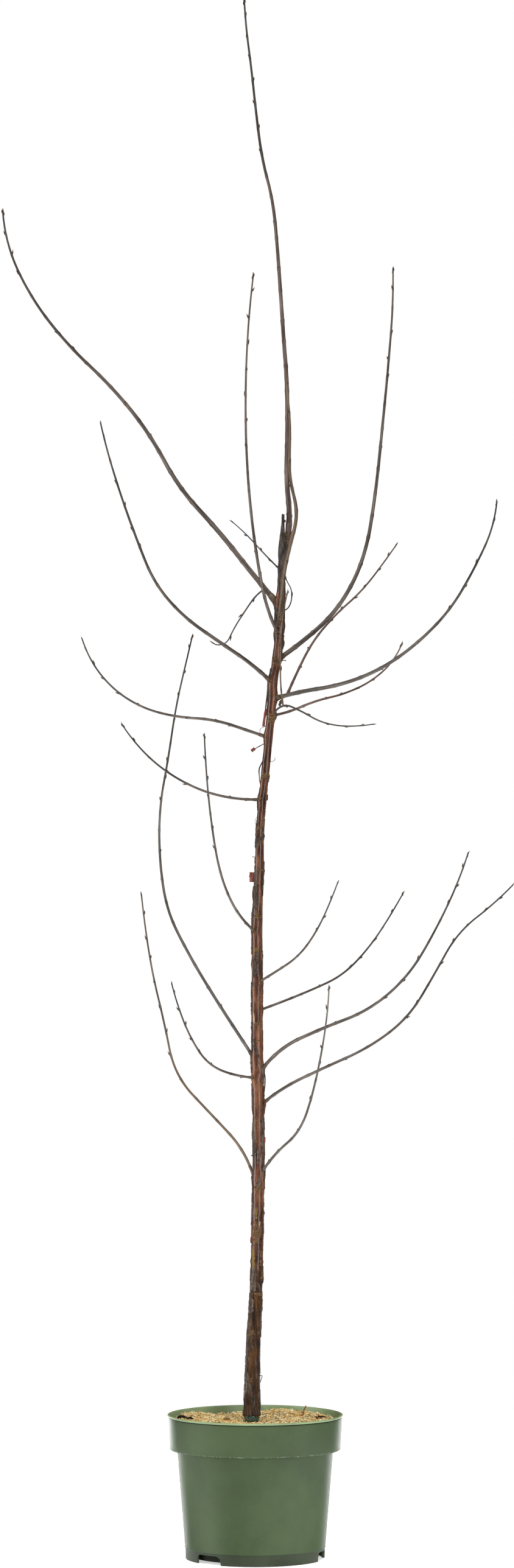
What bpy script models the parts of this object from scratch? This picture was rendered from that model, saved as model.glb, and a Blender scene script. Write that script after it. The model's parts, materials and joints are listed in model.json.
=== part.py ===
"""Sapling with root ball: a bare young tree, one season out of leaf, in a green nursery pot.

Units are metres and +Z is up.  The tree faces -Y, its left side is -X.  The origin is the middle of the
pot's flat underside.  Every limb is walked out from its foot by the climb and heading it has at even
stations along its length, then cut into a lower bough, sometimes an upper bough, and an outer whip that
carries the buds.  Each is a solid of its own, seated SEAT_GAP clear of the one below it.
"""
import math
import random

import bmesh
import bpy
from mathutils import Vector, noise

# ---------------------------------------------------------------- driving dimensions
SEAT_GAP = 0.0003
MERGE = 0.000004

POT_HEIGHT = 0.2365
POT_WALL = 0.0022
POT_RIM_RADIUS = 0.1445
POT_RIM_LIP = 0.0042
POT_BAND_BOTTOM_RADIUS = 0.1405
POT_BAND_BOTTOM_HEIGHT = 0.1790
POT_SHOULDER_RADIUS = 0.1282
POT_HEEL_RADIUS = 0.1154
POT_HEEL_HEIGHT = 0.0200
POT_FOOT_RADIUS = 0.1140
POT_FOOT_STEP = 0.0012
POT_FOOT_RING = 0.0040
POT_PAD_RADIUS = 0.0800
POT_CHANNEL_HEIGHT = 0.0165
POT_EDGE = 0.0006             # moulded corners are eased by this much
POT_BEAD = 0.0010             # and the rim's bead by this much
POT_GROOVE = 0.0018           # depth of the groove under the bead
POT_BAND_INSET = 0.0012       # how far the band's top stands in from the bead
POT_PAD_DRAFT = 0.0015        # how far the pad's side and the foot ring's inside lean
POT_RING_DRAFT = 0.0008
POT_SEGMENTS = 48
NOTCH_AZIMUTHS = (-133.0, -13.0, 107.0)
NOTCH_WIDTH = 0.0500
NOTCH_HEIGHT = 0.0150
NOTCH_SLANT = 0.0060          # how far the notch's right side leans
NOTCH_HEAD = 0.86             # the notch's width at its head, as a share
NOTCH_SHOULDER = 0.72         # where its sides begin to close, as a share of its height
NOTCH_EASE = 0.0010
DRAIN_RADIUS = 0.0045
DRAIN_CIRCLE = 0.0960
DRAIN_SIDES = 12
DRAIN_SWINGS = (40.0, 80.0)   # degrees on from each notch
CUT_MARGIN = 0.0120           # how far the notch cutters stand past the ring
DRAIN_MARGIN = 0.0060

SOIL_HEIGHT = 0.2200
SOIL_HUMP = 0.0035
SOIL_HUMP_TURNS = 34.0        # humps to the metre
SOIL_CALM = 0.0040            # no humps this near the trunk's seat or below the compost's top
SOIL_FLAT_RADIUS = 0.0210
SOIL_FLAT_RISE = 0.0002
SOIL_BAND_SHARE = 0.62        # how far up the band's slope the compost's edge is measured
SOIL_EDGE_DROP = 0.0020
# radius of each ring of the compost's top, and how far it stands above SOIL_HEIGHT
SOIL_RINGS = ((0.1180, 0.0005), (0.0900, 0.0008), (0.0600, 0.0006), (0.0380, 0.0004))
ROOT_BALL_SEGMENTS = 32

TRUNK_SIDES = 14
FLARE_LOBES = 3
FLARE_DEPTH = 0.07
FLARE_HEIGHT = 0.05
FLARE_TURN = 0.6
FLARE_RINGS = (0.010, 0.019)  # extra rings this far above the foot
BREAK_DROP = 0.003            # the broken top's low corners, and its sunken middle
BREAK_SUNK = 0.002
# height above the ground, lean to the right, lean to the back, diameter
TRUNK = (
    (0.2205, -0.0055, 0.0000, 0.0300),
    (0.2500, -0.0060, 0.0005, 0.0270),
    (0.3200, -0.0040, 0.0020, 0.0230),
    (0.4600, 0.0025, 0.0040, 0.0205),
    (0.6600, 0.0060, 0.0040, 0.0194),
    (0.8400, 0.0035, 0.0010, 0.0192),
    (0.9600, 0.0030, -0.0010, 0.0176),
    (1.0500, 0.0032, -0.0020, 0.0170),
    (1.1100, 0.0060, -0.0030, 0.0146),
    (1.2100, 0.0085, -0.0040, 0.0130),
    (1.3350, 0.0210, -0.0030, 0.0130),
    (1.4400, 0.0300, 0.0000, 0.0136),
    (1.5100, 0.0392, 0.0010, 0.0140),
    (1.6000, 0.0430, 0.0020, 0.0126),
    (1.6590, 0.0448, 0.0030, 0.0126),
    (1.6793, 0.0445, 0.0030, 0.0071),
    (1.7150, 0.0462, 0.0030, 0.0056),
)

# name: what it grows on, its height on the trunk or distance along the limb, its length, its diameter at
# the foot and the tip, the shares of its length at which the bough (and an upper bough) ends, then its
# climb and its heading in degrees at even stations from foot to tip (heading 0 is +X, 90 is +Y)
LIMBS = {
    "left_1": ("trunk", 0.623, 0.524, 0.0046, 0.0024, (0.45,),
               (74, 45, 44, 78, 73, 77, 78), (166, 156, 121)),
    "left_2": ("trunk", 0.789, 0.295, 0.0042, 0.0022, (0.40,),
               (5, 17, 43, 50, 50), (-141, -106)),
    "left_3": ("trunk", 0.821, 0.792, 0.0054, 0.0024, (0.30, 0.60),
               (50, 50, 52, 57, 72, 71, 68, 74, 67, 68), (143, 141, 64, 55)),
    "left_4": ("trunk", 1.030, 0.429, 0.0044, 0.0022, (0.42,),
               (27, 42, 52, 52, 56, 56), (-127, -101, -93)),
    "left_5": ("trunk", 1.246, 0.290, 0.0046, 0.0021, (0.42,),
               (-1, 9, 21, 31, 42, 52), (-158, -146)),
    "left_6": ("trunk", 1.349, 0.417, 0.0052, 0.0022, (0.45,),
               (17, 16, 3, 12, 28, 47, 69), (149, 148)),
    "left_7": ("trunk", 1.440, 0.556, 0.0064, 0.0024, (0.45,),
               (39, 29, 29, 42, 63, 65, 68, 73), (-148, -137)),
    "left_8": ("trunk", 1.519, 0.641, 0.0054, 0.0024, (0.45,),
               (39, 60, 62, 65, 66, 67, 65), (-116, -97, -74)),
    "left_9": ("trunk", 1.568, 0.805, 0.0088, 0.0028, (0.35, 0.65),
               (49, 52, 47, 62, 51, 43, 52, 65, 86), (174, 172)),
    "right_1": ("trunk", 0.634, 0.410, 0.0046, 0.0022, (0.40,),
                (49, 29, 55, 57, 55, 60), (-43, -69, -86)),
    "right_2": ("trunk", 0.746, 0.571, 0.0052, 0.0022, (0.45,),
                (39, 24, 23, 36, 58, 60, 36, 44), (12, 17)),
    "right_3": ("trunk", 0.802, 0.540, 0.0060, 0.0022, (0.45,),
                (51, 23, 20, 39, 57, 62, 70), (-25, -31)),
    "right_4": ("trunk", 0.900, 0.413, 0.0042, 0.0022, (0.42,),
                (13, 14, 16, 34, 44, 48), (45, 50)),
    "right_5": ("trunk", 0.947, 0.311, 0.0040, 0.0020, (0.40,),
                (23, 22, 36, 42, 39), (-49, -74)),
    "right_6": ("trunk", 1.384, 0.297, 0.0044, 0.0022, (0.42,),
                (9, 20, 11, 21, 37, 63), (35, 34)),
    "right_7": ("trunk", 1.412, 0.530, 0.0072, 0.0024, (0.30, 0.60),
                (16, 8, 21, 35, 45, 59, 64, 84), (-14, -20)),
    "right_8": ("right_7", 0.021, 0.374, 0.0044, 0.0022, (0.42,),
                (54, 52, 38, 32, 44, 48), (54, 40)),
    "right_9": ("trunk", 1.477, 0.771, 0.0078, 0.0028, (0.30, 0.62),
                (27, 32, 52, 75, 80, 80, 81, 91), (44, 61)),
    "front": ("trunk", 1.534, 0.428, 0.0076, 0.0030, (0.50,),
              (58, 84, 75, 75, 106, 91, 83, 82, 93), (-89, 26, -208)),
    "leader": ("trunk", 1.669, 0.904, 0.0084, 0.0028, (0.30, 0.62),
               (78, 99, 84, 87, 83, 85, 85, 84, 74, 82, 83, 81, 86), (15, 131, 156, 141)),
    "twig_low": ("trunk", 1.384, 0.214, 0.0034, 0.0018, (),
                 (62, -19, -26, -10, 1, 7), (-37, -36)),
    "twig_front": ("twig_low", 0.027, 0.188, 0.0028, 0.0017, (),
                   (79, 87, 84, 76), (-153, 12)),
    "twig_hook": ("twig_front", 0.158, 0.069, 0.0022, 0.0015, (),
                  (-13, 63, 81, 48, 72), (87, -89, -171)),
    "twig_back": ("trunk", 1.624, 0.149, 0.0027, 0.0016, (),
                  (33, 37, 30), (130, 131)),
    "twig_hanging": ("left_9", 0.032, 0.144, 0.0028, 0.0017, (),
                     (-27, -51, -54, -63, 34), (-144, -157)),
}
WALK_STEPS = 64
LIMB_FOOT = 0.75
LEADER_FOOT = 1.5
TAPER_POWER = 0.9
BOUGH_SIDES = 8
BOUGH_RING_STEP = 0.050
WHIP_SIDES = 6
WHIP_RING_STEP = 0.045
TURN_PER_RING = 16.0
RING_SAMPLES = 48
COLLAR_SIDES = 10
COLLAR_LEAST = 0.009
COLLAR_CLEAR = 0.0012
COLLAR_STEP = 0.0005          # how finely the collar's end is searched for
COLLAR_LIMIT = 3.0            # a collar takes no more than this part of the limb
COLLAR_ROOTS = (0.35, 0.3)    # how deep a collar is rooted in the trunk, and in another limb
ROOT_DROP = 0.001
COLLAR_PLACES = (0.22, 0.62, 1.0)
# thickness at the root and at those places, as shares of the limb's foot; the last is of the limb there
COLLAR_ON_TRUNK = (1.25, 1.75, 1.30, 1.04)
COLLAR_ON_LIMB = (0.90, 1.25, 1.15, 1.04)
HOST_STEPS = 40               # stations to each side at which the carrying limb is measured
HOST_STEP = 0.0015

BUD_SEED = 41
BUD_SPACING = (0.030, 0.046)
BUD_TURN = 144.0
BUD_ANGLE = (22.0, 34.0)
BUD_LENGTH = (0.0085, 0.0105)
BUD_WIDTH = 0.0031
BUD_SIDES = 4
BUD_WIDEST = 0.4              # where it is widest, as a share of its length
BUD_FIRST = (0.35, 0.8)       # the first bud's distance, as shares of the least spacing
BUD_LAST = 0.016              # no bud nearer the tip than this
BUD_SUNK = 0.2                # how far out from the middle it starts, as a share of the shoot's radius
BUD_THICKER = 0.8             # added length for each part of the shoot's radius
BUD_TURN_SPREAD = 15.0
TIP_BUD_LENGTH = 0.0095
TIP_BUD_SUNK = 0.0035
TIP_BUD_SHARE = 1.35

COLOURS = {
    "pot": ((0.100, 0.190, 0.085), 0.38),
    "root_ball": ((0.430, 0.300, 0.130), 0.95),
    "trunk": ((0.130, 0.040, 0.024), 0.32),
    "bough": ((0.120, 0.070, 0.055), 0.45),
    "whip": ((0.150, 0.110, 0.095), 0.60),
}


# ---------------------------------------------------------------- making and joining solids
def material(kind):
    name = kind + "_surface"
    found = bpy.data.materials.get(name)
    if found:
        return found
    colour, roughness = COLOURS[kind]
    made = bpy.data.materials.new(name)
    made.use_nodes = True
    shader = made.node_tree.nodes["Principled BSDF"]
    shader.inputs["Base Color"].default_value = colour + (1.0,)
    shader.inputs["Roughness"].default_value = roughness
    return made


def solid(name, kind, points, faces):
    """One closed mesh object, its faces turned outward."""
    mesh = bpy.data.meshes.new(name)
    mesh.from_pydata([tuple(p) for p in points], [], faces)
    bm = bmesh.new()
    bm.from_mesh(mesh)
    bmesh.ops.recalc_face_normals(bm, faces=bm.faces)
    for face in bm.faces:
        face.smooth = len(face.verts) <= 4
    bm.to_mesh(mesh)
    bm.free()
    made = bpy.data.objects.new(name, mesh)
    made.data.materials.append(material(kind))
    bpy.context.scene.collection.objects.link(made)
    return made


def apply_boolean(target, parts, operation):
    """One Boolean on a collection that holds every part, applied; the parts are removed."""
    if not parts:
        return target
    bag = bpy.data.collections.new(target.name + "_parts")
    bpy.context.scene.collection.children.link(bag)
    for part in parts:
        bpy.context.scene.collection.objects.unlink(part)
        bag.objects.link(part)
        part.hide_render = True
        part.display_type = "WIRE"
    change = target.modifiers.new("joined", "BOOLEAN")
    change.operation = operation
    change.operand_type = "COLLECTION"
    change.collection = bag
    change.solver = "EXACT"
    bpy.context.view_layer.objects.active = target
    bpy.ops.object.modifier_apply(modifier=change.name)
    for part in list(bag.objects):
        bpy.data.objects.remove(part)
    bpy.data.collections.remove(bag)
    return target


def tidy(made):
    """Merge the points a Boolean leaves almost on top of each other."""
    bm = bmesh.new()
    bm.from_mesh(made.data)
    bmesh.ops.remove_doubles(bm, verts=bm.verts, dist=MERGE)
    bmesh.ops.triangulate(bm, faces=[f for f in bm.faces if len(f.verts) > 4])
    bmesh.ops.recalc_face_normals(bm, faces=bm.faces)
    bm.to_mesh(made.data)
    bm.free()
    return made


def lathe(name, kind, profile, segments, lift=None):
    """A closed profile of (radius, height) pairs spun round the upright axis."""
    points = []
    rows = []
    for radius, height in profile:
        if radius < 1e-6:
            rows.append([len(points)])
            points.append(Vector((0.0, 0.0, height)))
            continue
        rows.append(list(range(len(points), len(points) + segments)))
        for k in range(segments):
            turn = 2.0 * math.pi * k / segments
            spot = Vector((radius * math.cos(turn), radius * math.sin(turn), height))
            if lift:
                spot.z += lift(spot)
            points.append(spot)
    faces = []
    for low, high in zip(rows, rows[1:]):
        for k in range(segments):
            n = (k + 1) % segments
            if len(low) == 1:
                faces.append((low[0], high[n], high[k]))
            elif len(high) == 1:
                faces.append((low[k], low[n], high[0]))
            else:
                faces.append((low[k], low[n], high[n], high[k]))
    return solid(name, kind, points, faces)


# ---------------------------------------------------------------- walking a limb
def at_stations(values, share):
    """The value at a share of the way along evenly spaced stations."""
    place = min(max(share, 0.0), 1.0) * (len(values) - 1)
    first = min(int(place), len(values) - 2)
    return values[first] + (values[first + 1] - values[first]) * (place - first)


def trunk_centre(height):
    for low, high in zip(TRUNK, TRUNK[1:]):
        if height <= high[0]:
            break
    share = min(max((height - low[0]) / (high[0] - low[0]), 0.0), 1.0)
    lean = [low[k] + (high[k] - low[k]) * share for k in (1, 2, 3)]
    return Vector((lean[0], lean[1], height)), lean[2] / 2.0


class Limb:
    """The centre line and radius of one limb, from its foot to its tip."""

    def __init__(self, name, grown):
        self.name = name
        self.on, at, self.length, self.foot, self.tip, self.splits, climbs, headings = LIMBS[name]
        self.at = at
        if self.on == "trunk":
            centre, radius = trunk_centre(at)
            turn = math.radians(headings[0])
            reach = radius * (LEADER_FOOT if name == "leader" else LIMB_FOOT)
            start = centre + Vector((math.cos(turn), math.sin(turn), 0.0)) * reach
        else:
            start = grown[self.on].place(at)
        self.points = [start]
        step = self.length / WALK_STEPS
        for k in range(WALK_STEPS):
            share = (k + 0.5) / WALK_STEPS
            climb = math.radians(at_stations(climbs, share))
            turn = math.radians(at_stations(headings, share))
            level = math.cos(climb)
            way = Vector((level * math.cos(turn), level * math.sin(turn), math.sin(climb)))
            self.points.append(self.points[-1] + way * step)

    def place(self, distance):
        walk = distance / self.length * WALK_STEPS
        first = min(max(int(walk), 0), WALK_STEPS - 1)
        return self.points[first].lerp(self.points[first + 1], walk - first)

    def way(self, distance):
        reach = self.length / WALK_STEPS
        low = max(distance - reach, 0.0)
        high = min(distance + reach, self.length)
        return (self.place(high) - self.place(low)).normalized()

    def radius(self, distance):
        share = min(max(1.0 - distance / self.length, 0.0), 1.0)
        return (self.tip + (self.foot - self.tip) * share ** TAPER_POWER) / 2.0


def tube(name, kind, centres, radii, sides, ways):
    """A round limb through centres, each ring cut square to its way."""
    points = []
    side = None
    for k, centre in enumerate(centres):
        run = ways[k]
        if side is None:
            side = run.orthogonal().normalized()
        side = (side - run * side.dot(run)).normalized()
        other = run.cross(side)
        for n in range(sides):
            turn = 2.0 * math.pi * n / sides
            points.append(centre + (side * math.cos(turn) + other * math.sin(turn)) * radii[k])
    faces = []
    for k in range(len(centres) - 1):
        for n in range(sides):
            m = (n + 1) % sides
            faces.append((k * sides + n, k * sides + m, (k + 1) * sides + m, (k + 1) * sides + n))
    faces.append(tuple(range(sides - 1, -1, -1)))
    last = (len(centres) - 1) * sides
    faces.append(tuple(range(last, last + sides)))
    return solid(name, kind, points, faces)


def ring_stops(limb, low, high, step):
    """Distances of the rings between two distances from the foot, closer together where the limb bends."""
    fine = [low + (high - low) * k / RING_SAMPLES for k in range(RING_SAMPLES + 1)]
    need = [0.0]
    for near, far in zip(fine, fine[1:]):
        turning = math.degrees(limb.way(near).angle(limb.way(far), 0.0))
        need.append(need[-1] + (far - near) / step + turning / TURN_PER_RING)
    count = max(int(math.ceil(need[-1])), 1)
    stops = [low]
    mark = 0
    for k in range(1, count):
        wanted = need[-1] * k / count
        while need[mark + 1] < wanted:
            mark += 1
        share = (wanted - need[mark]) / (need[mark + 1] - need[mark])
        stops.append(fine[mark] + (fine[mark + 1] - fine[mark]) * share)
    return stops + [high]


def piece(name, kind, limb, stops, sides):
    """The length of a limb from its first ring to its last."""
    places = [limb.place(s) for s in stops]
    return tube(name, kind, places, [limb.radius(s) for s in stops], sides, [limb.way(s) for s in stops])


def in_piece(limb, stops, distance):
    """The middle of the faceted limb at a distance from the foot."""
    for low, high in zip(stops, stops[1:]):
        if distance <= high:
            break
    return limb.place(low).lerp(limb.place(high), (distance - low) / (high - low))


def bud(name, base, way, length, width):
    """A narrow pointed bud: widest two fifths of the way up."""
    side = way.orthogonal().normalized()
    other = way.cross(side)
    points = [base, base + way * length]
    for n in range(BUD_SIDES):
        turn = 2.0 * math.pi * n / BUD_SIDES
        out = side * math.cos(turn) + other * math.sin(turn)
        points.append(base + way * length * BUD_WIDEST + out * width / 2)
    faces = []
    for n in range(BUD_SIDES):
        m = (n + 1) % BUD_SIDES
        faces.append((0, 2 + m, 2 + n))
        faces.append((1, 2 + n, 2 + m))
    return solid(name, "whip", points, faces)


def buds_on(limb, stops, rng):
    """Buds turn round the shoot by a fixed angle, at spacings the seed gives; one closes the tip."""
    made = []
    low = stops[0]
    high = stops[-1]
    turn = rng.uniform(0.0, 360.0)
    distance = low + rng.uniform(*BUD_FIRST) * BUD_SPACING[0]
    while distance < high - BUD_LAST:
        way = limb.way(distance)
        side = way.orthogonal().normalized()
        other = way.cross(side)
        out = side * math.cos(math.radians(turn)) + other * math.sin(math.radians(turn))
        lean = math.radians(rng.uniform(*BUD_ANGLE))
        aim = (way * math.cos(lean) + out * math.sin(lean)).normalized()
        radius = limb.radius(distance)
        base = in_piece(limb, stops, distance) + out * radius * BUD_SUNK
        made.append(bud("bud", base, aim, rng.uniform(*BUD_LENGTH) + radius * BUD_THICKER, BUD_WIDTH))
        distance += rng.uniform(*BUD_SPACING)
        turn += BUD_TURN + rng.uniform(-BUD_TURN_SPREAD, BUD_TURN_SPREAD)
    way = limb.way(high)
    base = limb.place(high) - way * TIP_BUD_SUNK
    made.append(bud("bud", base, way, TIP_BUD_LENGTH, limb.tip * TIP_BUD_SHARE))
    return made


# ---------------------------------------------------------------- the pot and what fills it
def pot_profile():
    """Radius and height from the middle of the underside, out and up over the rim, and down inside."""
    wall = POT_WALL
    top = POT_HEIGHT
    lip = top - POT_RIM_LIP
    channel = POT_CHANNEL_HEIGHT
    return (
        (0.0, 0.0),
        (POT_PAD_RADIUS, 0.0),
        (POT_PAD_RADIUS + POT_PAD_DRAFT, channel),
        (POT_FOOT_RADIUS - POT_FOOT_RING + POT_RING_DRAFT, channel),
        (POT_FOOT_RADIUS - POT_FOOT_RING, 0.0),
        (POT_FOOT_RADIUS - POT_EDGE, 0.0),
        (POT_FOOT_RADIUS, POT_EDGE),
        (POT_HEEL_RADIUS - POT_FOOT_STEP, POT_HEEL_HEIGHT - POT_FOOT_STEP),
        (POT_HEEL_RADIUS, POT_HEEL_HEIGHT),
        (POT_SHOULDER_RADIUS, POT_BAND_BOTTOM_HEIGHT),
        (POT_BAND_BOTTOM_RADIUS - POT_EDGE, POT_BAND_BOTTOM_HEIGHT),
        (POT_BAND_BOTTOM_RADIUS, POT_BAND_BOTTOM_HEIGHT + POT_EDGE),
        (POT_RIM_RADIUS - POT_BAND_INSET, lip - POT_EDGE),
        (POT_RIM_RADIUS - POT_GROOVE, lip),
        (POT_RIM_RADIUS, lip + POT_BEAD),
        (POT_RIM_RADIUS, top - POT_BEAD),
        (POT_RIM_RADIUS - POT_BEAD, top),
        (POT_RIM_RADIUS - wall - POT_BEAD, top),
        (POT_RIM_RADIUS - wall - POT_GROOVE, top - POT_BEAD),
        (POT_BAND_BOTTOM_RADIUS - wall, POT_BAND_BOTTOM_HEIGHT + wall),
        (POT_SHOULDER_RADIUS - wall, POT_BAND_BOTTOM_HEIGHT + wall),
        (POT_FOOT_RADIUS - wall + POT_RING_DRAFT, channel + wall),
        (POT_PAD_RADIUS - wall + POT_PAD_DRAFT, channel + wall),
        (POT_PAD_RADIUS - wall, wall),
        (0.0, wall),
    )


def notch_cutter(azimuth):
    """A block that cuts one drainage notch through the foot ring, its right side slanting."""
    turn = math.radians(azimuth)
    out = Vector((math.cos(turn), math.sin(turn), 0.0))
    along = Vector((-math.sin(turn), math.cos(turn), 0.0))
    half = NOTCH_WIDTH / 2
    head = half * NOTCH_HEAD
    rows = ((-CUT_MARGIN, -half, half + NOTCH_SLANT),
            (NOTCH_HEIGHT * NOTCH_SHOULDER, -half, half),
            (NOTCH_HEIGHT, NOTCH_EASE - head, head - NOTCH_SLANT))
    points = []
    for reach in (POT_PAD_RADIUS + CUT_MARGIN, POT_FOOT_RADIUS + CUT_MARGIN):
        for height, left, right in rows:
            points.append(out * reach + along * left + Vector((0.0, 0.0, height)))
            points.append(out * reach + along * right + Vector((0.0, 0.0, height)))
    faces = [(0, 1, 3, 2), (2, 3, 5, 4), (6, 8, 9, 7), (8, 10, 11, 9), (0, 2, 8, 6), (2, 4, 10, 8),
             (1, 7, 9, 3), (3, 9, 11, 5), (0, 6, 7, 1), (4, 5, 11, 10)]
    return solid("notch", "pot", points, faces)


def drain_cutter(azimuth):
    """A rod that cuts one drain hole through the floor of the channel."""
    turn = math.radians(azimuth)
    spot = Vector((DRAIN_CIRCLE * math.cos(turn), DRAIN_CIRCLE * math.sin(turn), POT_CHANNEL_HEIGHT))
    low = spot - Vector((0.0, 0.0, DRAIN_MARGIN))
    high = spot + Vector((0.0, 0.0, POT_WALL + DRAIN_MARGIN))
    return tube("drain", "pot", [low, high], [DRAIN_RADIUS] * 2, DRAIN_SIDES, [Vector((0, 0, 1))] * 2)


def make_pot():
    pot = lathe("pot", "pot", pot_profile(), POT_SEGMENTS)
    cutters = [notch_cutter(azimuth) for azimuth in NOTCH_AZIMUTHS]
    for azimuth in NOTCH_AZIMUTHS:
        cutters += [drain_cutter(azimuth + swing) for swing in DRAIN_SWINGS]
    return tidy(apply_boolean(pot, cutters, "DIFFERENCE"))


def make_root_ball():
    """The compost: a solid a seat's gap inside the pot's faceted wall, its top a little humped."""
    gap = SEAT_GAP
    wall = POT_WALL
    facets = math.cos(math.pi / POT_SEGMENTS)
    inner = POT_BAND_BOTTOM_RADIUS - wall
    ledge = POT_BAND_BOTTOM_HEIGHT + wall + gap
    slope = POT_RIM_RADIUS - POT_GROOVE - POT_BAND_BOTTOM_RADIUS
    rim = (inner + slope * SOIL_BAND_SHARE) * facets - gap

    def hump(spot):
        reach = math.hypot(spot.x, spot.y)
        if spot.z < SOIL_HEIGHT - SOIL_CALM or reach < SOIL_FLAT_RADIUS + SOIL_CALM:
            return 0.0
        return SOIL_HUMP * noise.noise(Vector((spot.x * SOIL_HUMP_TURNS, spot.y * SOIL_HUMP_TURNS, 2.7)))

    flat = SOIL_HEIGHT + SOIL_FLAT_RISE
    profile = [
        (0.0, wall + gap),
        ((POT_PAD_RADIUS - wall) * facets - gap, wall + gap),
        ((POT_PAD_RADIUS - wall + POT_PAD_DRAFT) * facets - gap, POT_CHANNEL_HEIGHT + wall + gap),
        ((POT_FOOT_RADIUS - wall) * facets - gap, POT_CHANNEL_HEIGHT + wall + gap),
        ((POT_SHOULDER_RADIUS - wall) * facets - gap, ledge),
        (inner * facets - gap, ledge),
        (rim - POT_EDGE, SOIL_HEIGHT - SOIL_EDGE_DROP),
    ]
    profile += [(radius, SOIL_HEIGHT + rise) for radius, rise in SOIL_RINGS]
    profile += [(SOIL_FLAT_RADIUS, flat), (0.0, flat)]
    return lathe("root_ball", "root_ball", profile, ROOT_BALL_SEGMENTS, hump)


# ---------------------------------------------------------------- the tree
def make_trunk(limbs):
    top = TRUNK[-1][0]
    bottom = TRUNK[0][0]
    heights = sorted([row[0] for row in TRUNK] + [bottom + rise for rise in FLARE_RINGS])
    points = []
    for height in heights:
        centre, radius = trunk_centre(height)
        flare = FLARE_DEPTH * max(0.0, 1.0 - (height - bottom) / FLARE_HEIGHT)
        for n in range(TRUNK_SIDES):
            turn = 2.0 * math.pi * n / TRUNK_SIDES
            reach = radius * (1.0 + flare * math.cos(FLARE_LOBES * turn + FLARE_TURN))
            points.append(centre + Vector((reach * math.cos(turn), reach * math.sin(turn), 0.0)))
    for n in range(TRUNK_SIDES):
        if n % 3 == 0:
            points[-1 - n].z -= BREAK_DROP
    faces = []
    for k in range(len(heights) - 1):
        for n in range(TRUNK_SIDES):
            m = (n + 1) % TRUNK_SIDES
            row = k * TRUNK_SIDES
            faces.append((row + n, row + m, row + TRUNK_SIDES + m, row + TRUNK_SIDES + n))
    faces.append(tuple(range(TRUNK_SIDES - 1, -1, -1)))
    points.append(trunk_centre(top)[0] - Vector((0.0, 0.0, BREAK_SUNK)))
    crown = len(points) - 1
    last = (len(heights) - 1) * TRUNK_SIDES
    for n in range(TRUNK_SIDES):
        faces.append((last + n, last + (n + 1) % TRUNK_SIDES, crown))
    trunk = solid("trunk", "trunk", points, faces)
    collars = [collar(limb, limbs) for limb in limbs.values() if limb.on == "trunk"]
    return tidy(apply_boolean(trunk, collars, "UNION"))


def clearance(limb, limbs, distance):
    """How far the limb's bark is from the bark of what it grows on."""
    spot = limb.place(distance)
    if limb.on == "trunk":
        centre, radius = trunk_centre(spot.z)
        return math.hypot(spot.x - centre.x, spot.y - centre.y) - radius - limb.radius(distance)
    host = limbs[limb.on]
    gaps = []
    for k in range(-HOST_STEPS, HOST_STEPS + 1):
        along = min(max(limb.at + k * HOST_STEP, 0.0), host.length)
        gaps.append((spot - host.place(along)).length - host.radius(along))
    return min(gaps) - limb.radius(distance)


def collar_end(limb, limbs):
    distance = COLLAR_LEAST
    while clearance(limb, limbs, distance) < COLLAR_CLEAR and distance < limb.length / COLLAR_LIMIT:
        distance += COLLAR_STEP
    return distance


def collar(limb, limbs):
    """The swollen ring of bark a limb grows out of, joined to what carries it."""
    in_trunk, in_limb = COLLAR_ROOTS
    if limb.on == "trunk":
        root = trunk_centre(limb.points[0].z - ROOT_DROP)[0].lerp(limb.points[0], in_trunk)
        shares = COLLAR_ON_TRUNK
    else:
        root = limb.points[0] - limb.way(0.0) * limbs[limb.on].radius(limb.at) * in_limb
        shares = COLLAR_ON_LIMB
    stops = [limb.start * place for place in COLLAR_PLACES]
    centres = [root] + [limb.place(stop) for stop in stops]
    radii = [limb.radius(0.0) * share for share in shares[:-1]] + [limb.radius(limb.start) * shares[-1]]
    ways = [(limb.points[0] - root).normalized()] + [limb.way(stop) for stop in stops]
    return tube("collar", "trunk", centres, radii, COLLAR_SIDES, ways)


def make_limb(limb, limbs, rng):
    """The bough, the upper bough and the whip of one limb, with the collars of what grows on them."""
    cuts = [limb.start + SEAT_GAP] + [limb.length * share for share in limb.splits] + [limb.length]
    names = {2: ("",), 3: ("_bough", "_whip"), 4: ("_bough", "_upper", "_whip")}[len(cuts)]
    made = []
    for k, ending in enumerate(names):
        low = cuts[k] + (SEAT_GAP if k else 0.0)
        high = cuts[k + 1]
        last = k == len(names) - 1
        stops = ring_stops(limb, low, high, WHIP_RING_STEP if last else BOUGH_RING_STEP)
        if last:
            body = piece(limb.name + ending, "whip", limb, stops, WHIP_SIDES)
            joins = buds_on(limb, stops, rng)
        else:
            body = piece(limb.name + ending, "bough", limb, stops, BOUGH_SIDES)
            joins = []
        for other in limbs.values():
            if other.on == limb.name and low < other.at < high:
                joins.append(collar(other, limbs))
        made.append(tidy(apply_boolean(body, joins, "UNION")))
    return made


def main():
    for old in list(bpy.data.objects):
        bpy.data.objects.remove(old)
    limbs = {}
    for name in LIMBS:
        limbs[name] = Limb(name, limbs)
    for limb in limbs.values():
        limb.start = collar_end(limb, limbs)
    make_pot()
    make_root_ball()
    make_trunk(limbs)
    rng = random.Random(BUD_SEED)
    for limb in limbs.values():
        make_limb(limb, limbs, rng)


main()
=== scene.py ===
"""Looks of a bare young tree in a green nursery pot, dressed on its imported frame.

Metres, +Z up, the tree faces -Y.  The limbs are walked out again by the rule that their solids follow, and
then carried to finer rings, nodes, buds and pegs.  Angles round the stem count from the front, to the right.
"""
import json
import math
import random

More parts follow.
